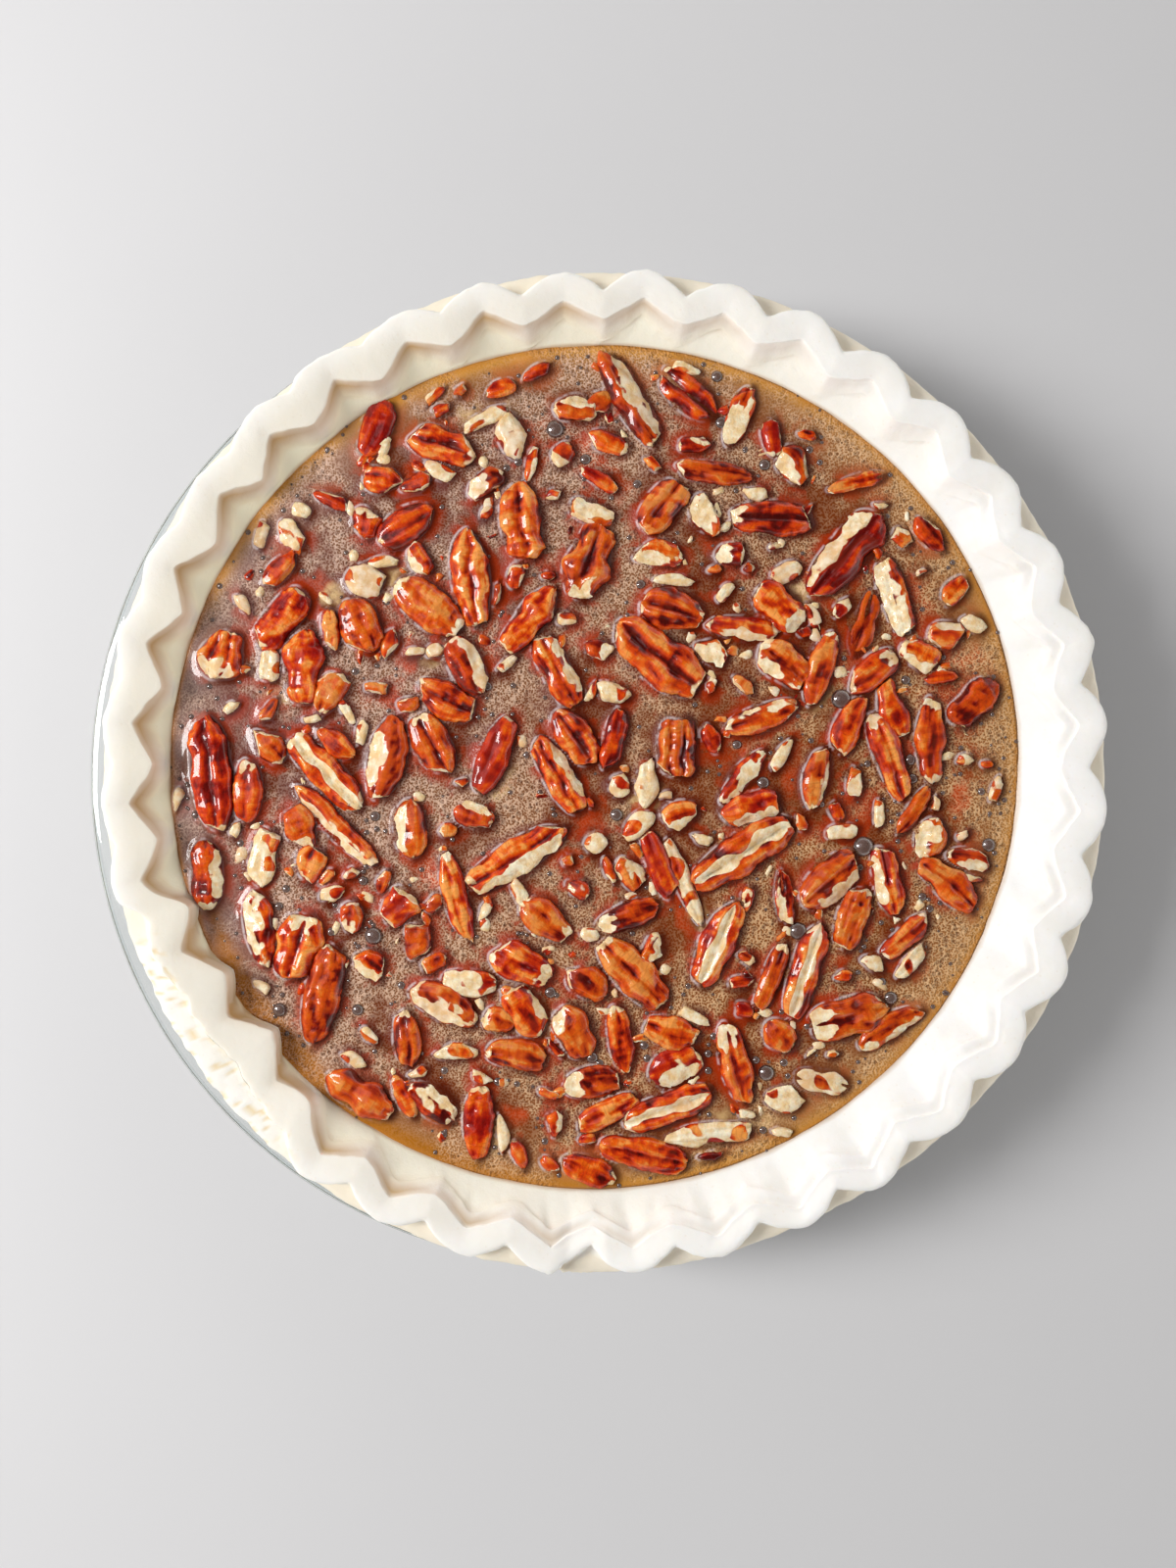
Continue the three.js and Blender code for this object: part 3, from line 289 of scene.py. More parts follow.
class Nodes:
    """A node tree whose nodes are made one call at a time."""

    def __init__(self, tree):
        self.tree = tree

    def add(self, kind, settings=None, inputs=None, output=0):
        node = self.tree.nodes.new(kind)
        for name, value in (settings or {}).items():
            setattr(node, name, value)
        for name, value in (inputs or {}).items():
            self.feed(node.inputs[name], value)
        return Value(self, node.outputs[output]) if node.outputs else None

    def feed(self, socket, value):
        if isinstance(value, Value):
            self.tree.links.new(value.socket, socket)
        else:
            socket.default_value = value

    def span(self, value, low, high, to_low=0.0, to_high=1.0):
        settings = {"interpolation_type": "SMOOTHSTEP"}
        inputs = {0: value, 1: low, 2: high, 3: to_low, 4: to_high}
        return self.add("ShaderNodeMapRange", settings, inputs)


class Shader(Nodes):
    """A material and the nodes that feed its surface."""

    def __init__(self, name, **plain):
        self.material = bpy.data.materials.new(name)
        self.material.use_nodes = True
        super().__init__(self.material.node_tree)
        self.surface = self.tree.nodes["Principled BSDF"]
        self.colour = None
        self.set(**plain)

    def set(self, **values):
        for name, value in values.items():
            self.feed(self.surface.inputs[name.replace("_", " ")], value)
        return self.material

    def place(self):
        return self.add("ShaderNodeTexCoord").out("Object")

    def attributes(self, names):
        return [self.add("ShaderNodeAttribute", {"attribute_name": name}).out("Fac")
                for name in names.split()]

    def noise(self, scale, detail=3, roughness=0.55, at=None):
        inputs = {"Scale": scale, "Detail": detail, "Roughness": roughness, "Vector": at or self.place()}
        return self.add("ShaderNodeTexNoise", None, inputs)

    def cells(self, scale, at=None, feature="F1"):
        inputs = {"Scale": scale, "Vector": at or self.place()}
        return self.add("ShaderNodeTexVoronoi", {"feature": feature}, inputs)

    def band(self, value, low, full, falls, gone):
        """1 where the value is from full to falls, and 0 below low and above gone."""
        return self.span(value, low, full) * self.span(value, falls, gone, 1, 0)

    def mix(self, share, a, b):
        return self.add("ShaderNodeMix", {"data_type": "RGBA"}, {0: share, 6: a, 7: b}, 2)

    def paint(self, share, *over):
        """Lays one more colour over the shader's own: three screen values, or a mixed colour."""
        self.colour = self.mix(share, self.colour, rgb(*over) if len(over) == 3 else over[0])

    def bump(self, height, strength, distance, under=None):
        inputs = {"Height": height, "Strength": strength, "Distance": distance}
        if under:
            inputs["Normal"] = under
        return self.add("ShaderNodeBump", None, inputs)


def rgb(red, green, blue):
    """A colour from its 0 to 255 screen values."""
    linear = [((c / 255 + 0.055) / 1.055) ** 2.4 if c > 10 else c / 3295 for c in (red, green, blue)]
    return (*linear, 1.0)


# ---- camera and light ----

scene = bpy.context.scene
scene.view_settings.view_transform = "Standard"


def placed(name, data):
    """A new object in the scene."""
    piece = bpy.data.objects.new(name, data)
    scene.collection.objects.link(piece)
    return piece


camera = placed("camera", bpy.data.cameras.new("camera"))
camera.data.lens = 27.07
camera.data.sensor_width = 36
camera.data.clip_start = 0.01
camera.location = (2.45 * MM, -1.7 * MM, 333 * MM)
scene.camera = camera


def soft_box(name, at, towards, size, watts, colour):
    lamp = bpy.data.lights.new(name, "AREA")
    lamp.shape = "RECTANGLE"
    lamp.size, lamp.size_y = size
    lamp.energy = watts
    lamp.color = colour
    holder = placed(name, lamp)
    holder.location = at
    holder.rotation_euler = (Vector(towards) - Vector(at)).to_track_quat("-Z", "Y").to_euler()


soft_box("window", (-0.74, 0.08, 0.7), (0, 0, 0.03), (0.29, 0.43), 9.1, (1, 0.99, 0.98))
soft_box("ceiling", (-0.42, 0.14, 1.0), (0, 0, 0.03), (0.62, 0.6), 1.05, (0.97, 0.94, 1))


def room_light():
    """A pale room, dark overhead, whose wall opposite the window throws light back."""
    world = bpy.data.worlds.new("room")
    scene.world = world
    world.use_nodes = True
    nodes = Nodes(world.node_tree)
    ground = nodes.tree.nodes["Background"].inputs
    way = nodes.add("ShaderNodeTexCoord").out("Generated")
    side = nodes.add("ShaderNodeSeparateXYZ", None, {0: way})
    overhead = nodes.span(side.out("Z"), 0.08, 0.75, 1.27, 0.03)
    nodes.feed(ground["Strength"], overhead * nodes.span(side, -0.6, 0.8, 0.8, 1.75))
    ground["Color"].default_value = (1, 0.985, 0.96, 1)


room_light()

# ---- meshes ----


def finished(name, points, faces, material, attributes=None):
    """A closed object from points in millimetres, with its faces turned outwards."""
    mesh = bpy.data.meshes.new(name)
    mesh.from_pydata((np.asarray(points) * MM).tolist(), [], faces)
    for label, values in (attributes or {}).items():
        layer = mesh.attributes.new(label, "FLOAT", "POINT")
        layer.data.foreach_set("value", np.asarray(values, dtype=np.float32))
    work = bmesh.new()
    work.from_mesh(mesh)
    bmesh.ops.recalc_face_normals(work, faces=work.faces)
    work.to_mesh(mesh)
    work.free()
    mesh.polygons.foreach_set("use_smooth", [True] * len(mesh.polygons))
    mesh.materials.append(material)
    return placed(name, mesh)


def tube_faces(rings, columns, first=0):
    """Faces of a skin of rings, whose two ends are poles: first pole, rings in order, last pole."""
    faces = []
    body = first + 1
    last = body + rings * columns
    for i in range(columns):
        j = (i + 1) % columns
        faces.append((first, body + j, body + i))
        faces.append((last, last - columns + i, last - columns + j))
    for k in range(rings - 1):
        a = body + k * columns
        b = a + columns
        for i in range(columns):
            j = (i + 1) % columns
            faces.append((a + i, a + j, b + j, b + i))
    return faces


def ripple(points, wavelength, seed, waves=14):
    """Smooth noise from -1 to 1 or so at points in millimetres: a sum of waves in all directions."""
    chance = np.random.default_rng(seed)
    points = np.asarray(points, dtype=float)
    total = np.zeros(points.shape[:-1])
    for _ in range(waves):
        way = chance.normal(size=points.shape[-1])
        way *= 2 * math.pi / (wavelength * chance.uniform(0.7, 1.5) * np.linalg.norm(way))
        total += np.sin(points @ way + chance.uniform(0, 2 * math.pi))
    return total * 1.3 / math.sqrt(waves)


def polar(x, y, centre):
    """Distances from a centre and directions in degrees."""
    x, y = x - centre[0], y - centre[1]
    return np.hypot(x, y), np.degrees(np.arctan2(y, x)) % 360


def turned(x, y, turn):
    """A step in the plane, as its parts along and across a direction."""
    cos, sin = math.cos(turn), math.sin(turn)
    return x * cos + y * sin, y * cos - x * sin


def smoothstep(low, high, x):
    t = np.clip((x - low) / (high - low), 0, 1)
    return t * t * (3 - 2 * t)


def stretch(x, low, full, falls, gone):
    """1 where x is from full to falls, and 0 below low and above gone."""
    return smoothstep(low, full, x) * (1 - smoothstep(falls, gone, x))


def spline(keys, steps):
    """Points on a smooth curve through the keys, steps[k] of them from key k on."""
    keys = np.asarray(keys)
    rows = []
    for k, count in enumerate(steps):
        a, b = keys[k], keys[k + 1]
        before = keys[k - 1] if k else a
        after = keys[k + 2] if k + 2 < len(keys) else b
        for t in np.arange(count) / count:
            rows.append(0.5 * (2 * a + (b - before) * t + (2 * before - 5 * a + 4 * b - after) * t**2
                               + (3 * a - before - 3 * b + after) * t**3))
    rows.append(keys[-1])
    return np.array(rows)


# ---- materials ----


def glass_material():
    shader = Shader("clear_glass", Roughness=0.02, IOR=1.47, Transmission_Weight=1.0)
    streaks = shader.noise(60, 2)
    return shader.set(
        Base_Color=shader.mix(streaks, rgb(240, 246, 246), rgb(250, 252, 251)),
        Normal=shader.bump(shader.noise(35, 1), 0.12, 0.001),
    )


def dough_material():
    shader = Shader("raw_dough", Subsurface_Weight=0.2, Subsurface_Scale=0.003,
                    Subsurface_Radius=(1, 0.8, 0.6))
    span, noise, cells, mix, paint, bump = (
        shader.span, shader.noise, shader.cells, shader.mix, shader.paint, shader.bump)
    mottled = noise(90, 4)
    specks = span(cells(420), 0.06, 0.16, 1, 0)
    flour = noise(420, 5, 0.7)
    side = shader.add("ShaderNodeSeparateXYZ", None, {0: shader.place()})
    # painted shade: the pastry is painted creamier and darker towards the left than on its brighter right,
    # less so near its outer edge
    shaded_side = span(side.out("Y") * 0.25 - side.out("X"), -0.1, 0.13)
    edging, wall, cracked, fold, damp = shader.attributes("edging wall cracked fold damp")
    shader.colour = mix(shaded_side * (1 - edging * 0.6), rgb(250, 249, 246), rgb(232, 226, 211))
    paint(span(mottled, 0.35, 0.7) * 0.25, 232, 226, 212)
    # painted light: the low wall inside, which lies in shade on the left, is painted paler
    paint(wall * shaded_side, 246, 241, 214)
    paint(cracked, 234, 216, 178)
    # painted shadow: a tan shade under the ribbon's inner edge
    paint(fold * 0.98, 182, 138, 64)
    paint(damp * 0.75, 186, 138, 72)
    paint(specks * 0.15, 222, 204, 170)
    grain = bump(flour, 0.18, 0.0006)
    pits = bump(noise(130, 4, 0.65), 0.25, 0.0012, grain)
    return shader.set(Base_Color=shader.colour, Roughness=0.62 - damp * 0.35, Normal=pits)


def syrup_material():
    shader = Shader("syrup", IOR=1.45, Coat_Weight=1.0, Coat_Roughness=0.03, Coat_IOR=1.42,
                    Specular_IOR_Level=0.2)
    span, band, noise, cells, mix, paint, bump = (
        shader.span, shader.band, shader.noise, shader.cells, shader.mix, shader.paint, shader.bump)
    side = shader.add("ShaderNodeSeparateXYZ", None, {0: shader.place()})
    right = span(side - side.out("Y") * 0.5, -0.08, 0.08)
    red, cream, edge, near, shore, gap, outer, lee, stands = shader.attributes(
        "red cream edge near shore gap rim lee stands")
    # Clear syrup is brown and reddish. Foam lies on it in drifts.
    drift = span(noise(42, 4, 0.6), 0.38, 0.6)
    foam = span(drift * 0.95 + 0.28 - near * 0.2 - red * 0.3 - cream * 0.3, 0.1, 0.9)
    # Clear syrup and froth are painted greyer towards the left, partly their own colour and partly a painted
    # reflection of the window's sheen.
    clear = mix(right, rgb(100, 36, 10), rgb(124, 52, 8))
    froth = mix(right, rgb(137, 93, 62), rgb(149, 88, 36))
    murk = span(noise(260, 4, 0.65), 0.34, 0.62, 0.35, 1)
    for sunken, under_clear, under_froth in (
        (red, (190, 66, 22), (204, 84, 36)), (cream, (218, 184, 126), (224, 190, 136)),
    ):
        clear = mix(sunken * murk, clear, rgb(*under_clear))
        froth = mix(sunken * murk, froth, rgb(*under_froth))
    shader.colour = mix(foam, clear, froth)
    # Beside the nuts it is darker: partly stained by what hangs below them, partly painted shade.
    stain_and_shade = span(gap, 0.0, 3.5, 1, 0) * span(noise(150, 3), 0.3, 0.54)
    paint(stain_and_shade * 0.88, 104, 28, 4)
    sunk = span(noise(125, 3, 0.5), 0.5, 0.57) * span(gap, 0.4, 4.6, 1, 0)
    paint(sunk * 0.78, 176, 50, 6)
    shallow = span(side, -0.096, -0.088) + span(noise(40, 2), 0.48, 0.56)
    shallow = edge * span(shallow, 0, 1) * (1 - span(side, 0.02, 0.085) * 0.55)
    # Near its rim the syrup is painted lilac on the left, a painted reflection of the window, and golden on
    # the right.
    lilac = mix(span(side, -0.09, -0.03), rgb(178, 148, 136), rgb(204, 150, 92))
    paint(outer * 0.55, lilac)
    amber = span(side + side.out("Y"), -0.13, -0.07)
    amber = mix(amber, rgb(176, 108, 14), rgb(216, 154, 64))
    paint(shallow * 0.92, amber)
    # The foam's small bubbles are painted with dark hollows and rings, and with painted highlights on their
    # rims and walls.
    small = cells(1900)
    medium = cells(760)
    picked = span(noise(300, 1), 0.44, 0.56)
    rims = span(small, 0.4, 0.64)
    holes = span(small, 0.08, 0.26, 1, 0)
    gleam = mix(right, rgb(244, 210, 190), rgb(250, 208, 158))
    clean = (1 - stain_and_shade * 0.65) * (1 - sunk * 0.85) * (1 - shallow * 0.6)
    paint(rims * (foam * 0.54 + 0.08) * clean, gleam)
    paint(holes * (foam * 0.3 + 0.2) * (1 - outer * 0.55), 74, 24, 4)
    ring = band(medium, 0.26, 0.34, 0.34, 0.46)
    inside = span(medium, 0.2, 0.3, 1, 0)
    paint(inside * picked * foam * 0.45, 116, 76, 54)
    paint(ring * picked * (foam * 0.5 + 0.15), 60, 34, 24)
    walls = band(medium, 0.44, 0.5, 0.52, 0.6)
    paint(walls * picked * foam * clean * 0.5, gleam)
    # It climbs up the nuts, with a painted highlight on the side of the light and a painted shadow on the
    # other.
    climbs = stands * shader.add("ShaderNodeMath", {"operation": "EXPONENT"}, {0: gap * -1.25})
    broken = span(noise(300, 2), 0.4, 0.56)
    pale = band(gap, -0.3, 0.1, 0.2, 0.8) * span(lee, 0.2, 0.6, 1, 0) * broken * span(stands, 0.2, 0.6)
    dark = span(gap, 0.0, 2.3, 1, 0) * span(lee, 0.3, 0.8)
    paint(dark * 0.82, 76, 20, 4)
    paint(pale * 0.5, 242, 230, 232)
    paint(shore * 0.65, 192, 124, 44)
    film = bump(climbs, 1.0, 0.0003)
    film = bump(small, foam * 0.5 + 0.15, 0.0004, film)
    film = bump(medium, picked * foam * 0.5, 0.0008, film)
    return shader.set(
        Base_Color=shader.colour,
        Roughness=0.2 + foam * 0.25,
        Coat_Weight=0.82 - foam * 0.42,
        Normal=film,
    )


def nut_material():
    shader = Shader("wet_pecan", IOR=1.47, Coat_Roughness=0.045, Coat_IOR=1.46,
                    Subsurface_Weight=0.08, Subsurface_Scale=0.0015, Subsurface_Radius=(1, 0.3, 0.1),
                    Specular_IOR_Level=0.1)
    span, band, noise, cells, mix, paint, bump = (
        shader.span, shader.band, shader.noise, shader.cells, shader.mix, shader.paint, shader.bump)
    along = shader.add("ShaderNodeUVMap", {"uv_map": "own"})
    stretched, fibres, across = (
        shader.add("ShaderNodeMapping", None, {"Vector": along, "Scale": scale})
        for scale in ((0.14, 0.55, 1), (0.3, 1.6, 1), (0.6, 0.26, 1)))
    tone, ridge, flesh, shade, glaze = shader.attributes("tone ridge flesh shade glaze")
    streak = noise(1, 4, 0.6, stretched)
    fibre = noise(1, 3, 0.6, fibres)
    blotch = noise(0.3, 3, 0.55, along)
    wrinkle = span(cells(1, across, "DISTANCE_TO_EDGE"), 0.0, 0.12, 1, 0)
    # The nuts are painted lighter on their tops and ridges and darker in their grooves and low sides: partly
    # the skin's own colour, partly painted shade.
    bright = tone * 0.8 - 0.13 + (streak - 0.5) * 0.9 + (blotch - 0.5) * 0.7
    bright = bright + (fibre - 0.5) * 0.5 + (ridge - 0.54) * 1.2
    shader.colour = mix(span(bright, -0.05, 0.32), rgb(78, 7, 2), rgb(148, 20, 2))
    paint(span(bright, 0.24, 0.6), 214, 62, 4)
    paint(span(bright, 0.56, 0.86), 234, 100, 10)
    paint(span(bright, 0.8, 1.1), 246, 160, 76)
    paint(wrinkle * 0.22, 108, 18, 4)
    # Some of the nuts are redder or browner than others.
    redder = span(shade, 0.05, 0.3, 1, 0) * span(bright, 0.4, 0.9, 1, 0)
    paint(redder * 0.45, 170, 12, 6)
    browner = span(shade, 0.35, 0.9) * span(bright, 0.1, 0.5)
    paint(browner * 0.35, 190, 92, 22)
    grain = noise(420, 4, 0.6)
    meat = mix(span(grain, 0.35, 0.7), rgb(238, 202, 146), rgb(255, 244, 214))
    meat = mix(span(blotch, 0.55, 0.75) * 0.35, meat, rgb(214, 160, 90))
    ragged = span(flesh + (noise(380, 3) - 0.5) * 0.22, 0.44, 0.56)
    rind = band(flesh, 0.3, 0.5, 0.5, 0.62)
    paint(rind * 0.3, 150, 48, 12)
    # Syrup lies on some of the nuts in smooth films that dull what is under them and tint them a little pink:
    # partly the syrup's colour, partly a painted sheen.
    film = span(noise(150, 2) + (glaze - 0.5) * 0.3, 0.54, 0.64)
    paint(ragged, meat)
    paint(film * 0.16, 184, 74, 48)
    relief = bump(wrinkle, (1 - film) * -0.4, 0.0004)
    relief = bump(fibre, (1 - film) * 0.3, 0.0005, relief)
    relief = bump(grain, (1 - film) * 0.15, 0.0004, relief)
    relief = bump(noise(900, 3, 0.6), (1 - film * 0.6) * 0.75, 0.0005, relief)
    return shader.set(
        Base_Color=shader.colour,
        Roughness=0.4 + ragged * 0.1,
        Coat_Weight=0.8 - ragged * 0.25,
        Normal=relief,
    )


# ---- the glass dish ----


def dish_piece():
    outline = [
        (0, 0), (86, 0), (90, 0.3), (92.6, 2), (95.8, 6), (119.4, 32.6), (121.6, 34.2),
        (122.5, 35.8), (122.2, 37.3), (121, 38), (116.4, 38), (114.9, 37.4), (113.8, 35.6),
        (96, 14), (93.6, 10.8), (89.5, 7.2), (84, 5.6), (0, 5.5),
    ]
    rings = spline(outline, [1] + [4] * (len(outline) - 3) + [1])[1:-1]
    columns = 256
    turn = np.arange(columns) * 2 * math.pi / columns
    points = [(radius * math.cos(t), radius * math.sin(t), height) for radius, height in rings for t in turn]
    points = [(0, 0, 0), *points, (0, 0, 5.5)]
    return finished("glass_dish", points, tube_faces(len(rings), columns), glass_material())


# ---- the pastry ----


def slump(degrees):
    """How far the ribbon has slumped, from 0 to 1, by its direction."""
    rise = 0.5 * smoothstep(194.5, 197.5, degrees) + 0.5 * smoothstep(196, 219, degrees)
    return rise * (1 - smoothstep(222, 232, degrees))


def tear(degrees):
    """How near to the small tear in the ribbon a direction is, from 0 to 1."""
    return 1 - smoothstep(0.3, 1, np.abs(degrees - 267) / 3.4)


def syrup_edge(turn):
    """Radius of the syrup round the bowl's centre, which is pressed in a little on two sides."""
    return SYRUP_RADIUS - 0.45 - 0.55 * np.cos(2 * (turn - math.radians(118)))


def fluted_ribbon():
    """The ribbon's measures at each of its columns, which follow the flutes round the ring."""
    per_flute = 28
    peaks = np.array(FLUTE_PEAKS + [FLUTE_PEAKS[0] + 360])
    columns = per_flute * len(FLUTE_PEAKS)
    step = np.arange(columns) / per_flute
    degrees = np.interp(step, np.arange(len(peaks)), peaks)
    turn = np.radians(degrees)
    degrees = degrees % 360
    notch = 1 - np.abs(2 * (step % 1) - 1)
    around = np.stack([np.cos(turn) * 60, np.sin(turn) * 60], axis=-1)
    sag, gone = slump(degrees), tear(degrees)
    each = np.random.default_rng(11).normal(size=len(peaks))
    each[-1] = each[0]
    taller = np.interp(step, np.arange(len(peaks)), each)
    shallow = stretch(degrees, 100, 128, 205, 240)
    lobe = np.maximum(1 - np.sqrt((1 - notch) ** 2 + 0.003), 0)
    depth = 5.2 * (1 - 0.5 * sag) * (1 - 0.5 * shallow)
    drawn = np.exp(-(((degrees - 297) / 23) ** 2))
    outer = RIBBON_OUTSIDE + 0.25 * taller - depth * lobe**1.9 - 6 * sag - 1.6 * gone - 1.9 * drawn
    groove = np.clip(1 - np.sqrt(notch**2 + 0.004), 0, 1)
    tip = RIBBON_TIPS - 0.6 * stretch(degrees, 80, 125, 225, 250) - 6.6 * sag
    inner = tip + (RIBBON_GROOVES - 5.6 * sag - tip) * groove**1.3 + 0.25 * taller * (1 - notch)
    top = RIBBON_TOP - 2.4 * sag - 1.6 * gone + 0.3 * ripple(around, 20, 5) - 0.4 * lobe
    return SimpleNamespace(turn=turn, notch=notch, sag=sag, drawn=drawn, outer=outer, inner=inner,
                           groove=groove, top=top)


def pastry_rows(shape):
    """Rows of points from under the middle, over the ribbon and down to the middle of the floor.

    The number of rows that come before the slope inside is given too."""
    turn, notch, sag, drawn = shape.turn, shape.notch, shape.sag, shape.drawn
    outer, inner, top = shape.outer, shape.inner, shape.top

    def row(radius, height, centre=RING_CENTRE):
        x, y = centre[0] + radius * np.cos(turn), centre[1] + radius * np.sin(turn)
        return np.stack([x, y, height + np.zeros(len(turn))], axis=-1)

    def bowl(radius, height):
        return row(radius, height, BOWL_CENTRE)

    side = row(inner, 0) - [*BOWL_CENTRE, 0]
    edge = syrup_edge(turn)
    beach = np.hypot(side[:, 0], side[:, 1]) - edge
    lean = np.clip(beach - 1.2, 0.1, 2.6)
    foot = np.minimum(SYRUP_LEVEL + np.maximum((beach - lean) / LIP_SLOPE, 0.5), top - 4.2)
    under = [
        bowl(2, UNDERSIDE), bowl(78, UNDERSIDE), bowl(86.5, 10), bowl(108, 35.2), bowl(109.2, 38.3),
        row(113.6, 38.3), row(123.2 - 2 * drawn, 38.3), row(124.2 - 2 * drawn, 39.4),
        row(124 - 2 * drawn, 40.8), row(122.6 - 0.4 * notch - 2 * (sag + drawn), 41.6),
        row(outer + 0.3, 42.0),
    ]
    width = outer - inner
    ribbon = [
        row(outer, 43.2), row(outer, top - 1.4),
        row(outer - 0.5, top - 0.4), row(outer - 1.4, top),
        row(inner + 0.5 * width, top - 0.4), row(inner + 1.2, top - 1.2),
        row(inner + 0.25, top - 1.5), row(inner - 0.1, top - 2.1),
        row(inner - lean, foot + 1.3), row(inner - lean - 0.5, foot + 0.5),
    ]
    corner = ribbon[-1]
    wall = bowl(edge, SYRUP_LEVEL - 0.1)
    slope = [corner * (1 - t) + wall * t for t in (0.18, 0.4, 0.65, 0.85, 1.0)]
    slope.append(bowl(edge - 1.2, SYRUP_LEVEL - 1.6))
    inside = [bowl(84.5, 12), bowl(76, FLOOR), bowl(2, FLOOR)]
    bends = spline(under + ribbon, [1, 2, 2, 2, 2, 3, 2, 2, 2, 2, 2, 3, 3, 3, 3, 4, 4, 3, 3, 3])
    return np.concatenate([bends, spline(slope, [2, 3, 3, 2, 2]), np.array(inside)]), len(bends)


def painted_fold_and_wall(shape, rows):
    """How much each point has of the painted shadow under the ribbon, and of the low wall inside, which is
    painted paler.
    """
    inward = shape.inner - polar(rows[..., 0], rows[..., 1], RING_CENTRE)[0]
    drop = shape.top - 1.6 - rows[..., 2]
    under_it = smoothstep(-0.3, 0.3, inward) * (1 - smoothstep(0.1, 0.9 + 3.6 * shape.groove, inward))
    under_it = under_it * smoothstep(0, 0.8, drop)
    behind = shape.sag * (1 - smoothstep(1.5, 4.5, -inward)) * smoothstep(-1.2, 0.3, drop)
    under_it = np.maximum(under_it, 0.3 * behind)
    # It is strongest on the sides that lie away from the light.
    shade = 0.06 + 0.94 * smoothstep(-0.6, 0.5, -np.cos(shape.turn + math.radians(8)))
    fold = under_it * (shade * (0.4 + 0.6 * shape.groove))
    low_wall = smoothstep(0.8, 3, inward) * smoothstep(1, 2.6, drop)
    return fold.reshape(-1), low_wall.reshape(-1)


def pastry_piece():
    shape = fluted_ribbon()
    rows, outside = pastry_rows(shape)
    columns = len(shape.turn)
    flat = rows.reshape(-1, 3)
    high = smoothstep(36.5, 42, flat[:, 2])
    radius, where = polar(flat[:, 0], flat[:, 1], RING_CENTRE)
    fallen = stretch(where, 196, 203, 226, 233)
    torn = stretch(where, 262, 264, 268, 269.5) * smoothstep(114, 116, radius)
    lump = 0.16 * ripple(flat, 9, 21) + 0.07 * ripple(flat, 3.1, 22, 20)
    lump += 0.35 * torn * np.abs(ripple(flat, 2.6, 23, 20))
    lump += 0.25 * fallen * smoothstep(112, 116, radius) * ripple(flat * [1, 1, 0.3], 6, 24, 20)
    out = flat - np.array([*RING_CENTRE, 40])
    out[:, 2] *= 3
    out /= np.linalg.norm(out, axis=1)[:, None]
    flat = flat + out * (lump * high)[:, None]
    cracks = smoothstep(0.7, 0.95, ripple(flat, 2.6, 31, 20)) * fallen * smoothstep(115, 118, radius)
    flat[:, 2] -= 0.4 * cracks
    within = np.repeat(np.arange(len(rows)) >= outside, columns)
    damp = (1 - smoothstep(SYRUP_LEVEL, SYRUP_LEVEL + 0.9, flat[:, 2])) * within
    pits = smoothstep(115, 117, radius) * (1 - smoothstep(42.2, 43.6, flat[:, 2])) * (1 - fallen)
    fold, low_wall = painted_fold_and_wall(shape, rows)
    points = np.vstack([[(*BOWL_CENTRE, UNDERSIDE)], flat, [(*BOWL_CENTRE, FLOOR)]])
    beyond = smoothstep(0.1, 1.2, radius - np.tile(shape.outer, len(rows)))
    fit = {
        "cracked": np.maximum(cracks, 0.5 * pits * beyond), "damp": damp, "fold": fold, "wall": low_wall,
        "edging": smoothstep(115, 121.5, radius) * high,
    }
    fit = {key: np.concatenate([[0], values, [0]]) for key, values in fit.items()}
    return finished("pastry", points, tube_faces(len(rows), columns), dough_material(), fit)


# ---- the nuts ----

# Rings and columns of the mesh of one nut, and of the one that its shoreline is read from.
LARGE_GRID, BROKEN_GRID, CRUMB_GRID, BIT_GRID, SHORE_GRID = (44, 40), (26, 26), (16, 18), (9, 12), (30, 28)
SMALL_BITS = 170
# Grooves across each kind: where, how deep and how wide, in shares of the half width and thickness.
GROOVES = {
    "ridged": [(0, 0.55, 0.18), (-0.66, 0.14, 0.1), (0.66, 0.14, 0.1)],
    "lobed": [(0, 0.68, 0.22), (-0.7, 0.12, 0.1), (0.7, 0.12, 0.1)],
    "triple": [(-0.36, 0.5, 0.13), (0.36, 0.5, 0.13)],
    "smooth": [(0.3, 0.2, 0.12), (-0.45, 0.14, 0.1)],
    "split": [(-0.15, 0.3, 0.14), (0.5, 0.18, 0.1)],
    "chip": [(0.1, 0.3, 0.16)],
}


def read_look(text):
    head, _, cut = text.partition("@")
    angle, _, share = cut.partition("/")
    return {
        "tone": int(head[0]) / 9,
        "stripe": "s" in head,
        "cream": "c" in head,
        "cut": (float(angle), float(share)) if cut else None,
    }


def seeded(rows, first):
    """(nut, look, seed) for each row of a nut's measures and, last, the text of its look."""
    return [(nut, read_look(look), first + 10 * i) for i, (*nut, look) in enumerate(rows)]


def broken_off(local, beyond, normal):
    """The nut without what lies beyond a break."""
    return local - np.maximum(beyond, 0)[..., None] * normal


def cut_face(local, half, lift, cut, heading, seed):
    """The nut without what its cream face takes off, and how much flesh shows at each point."""
    angle, amount = cut
    way = math.radians(angle) - heading
    flat = np.array([math.cos(way), math.sin(way)])
    reach = math.hypot(*(half[:2] * flat))
    # The face falls from near the top to just above the syrup at the nut's edge.
    fall = min(max((lift - 0.35) / (2.5 * amount * reach), 0.12), 0.9)
    point = np.array([*(flat * reach * (1 - 2.5 * amount)), 0.82 * half[2]])
    normal = np.array([*(flat * fall), 1]) / math.hypot(fall, 1)
    beyond = (local - point) @ normal
    beyond += 0.2 * ripple(local, 4.5, seed + 5) + 0.1 * ripple(local, 1.8, seed + 6)
    return broken_off(local, beyond, normal), np.clip(0.5 + (beyond - 0.12) / 1.4, 0, 1)


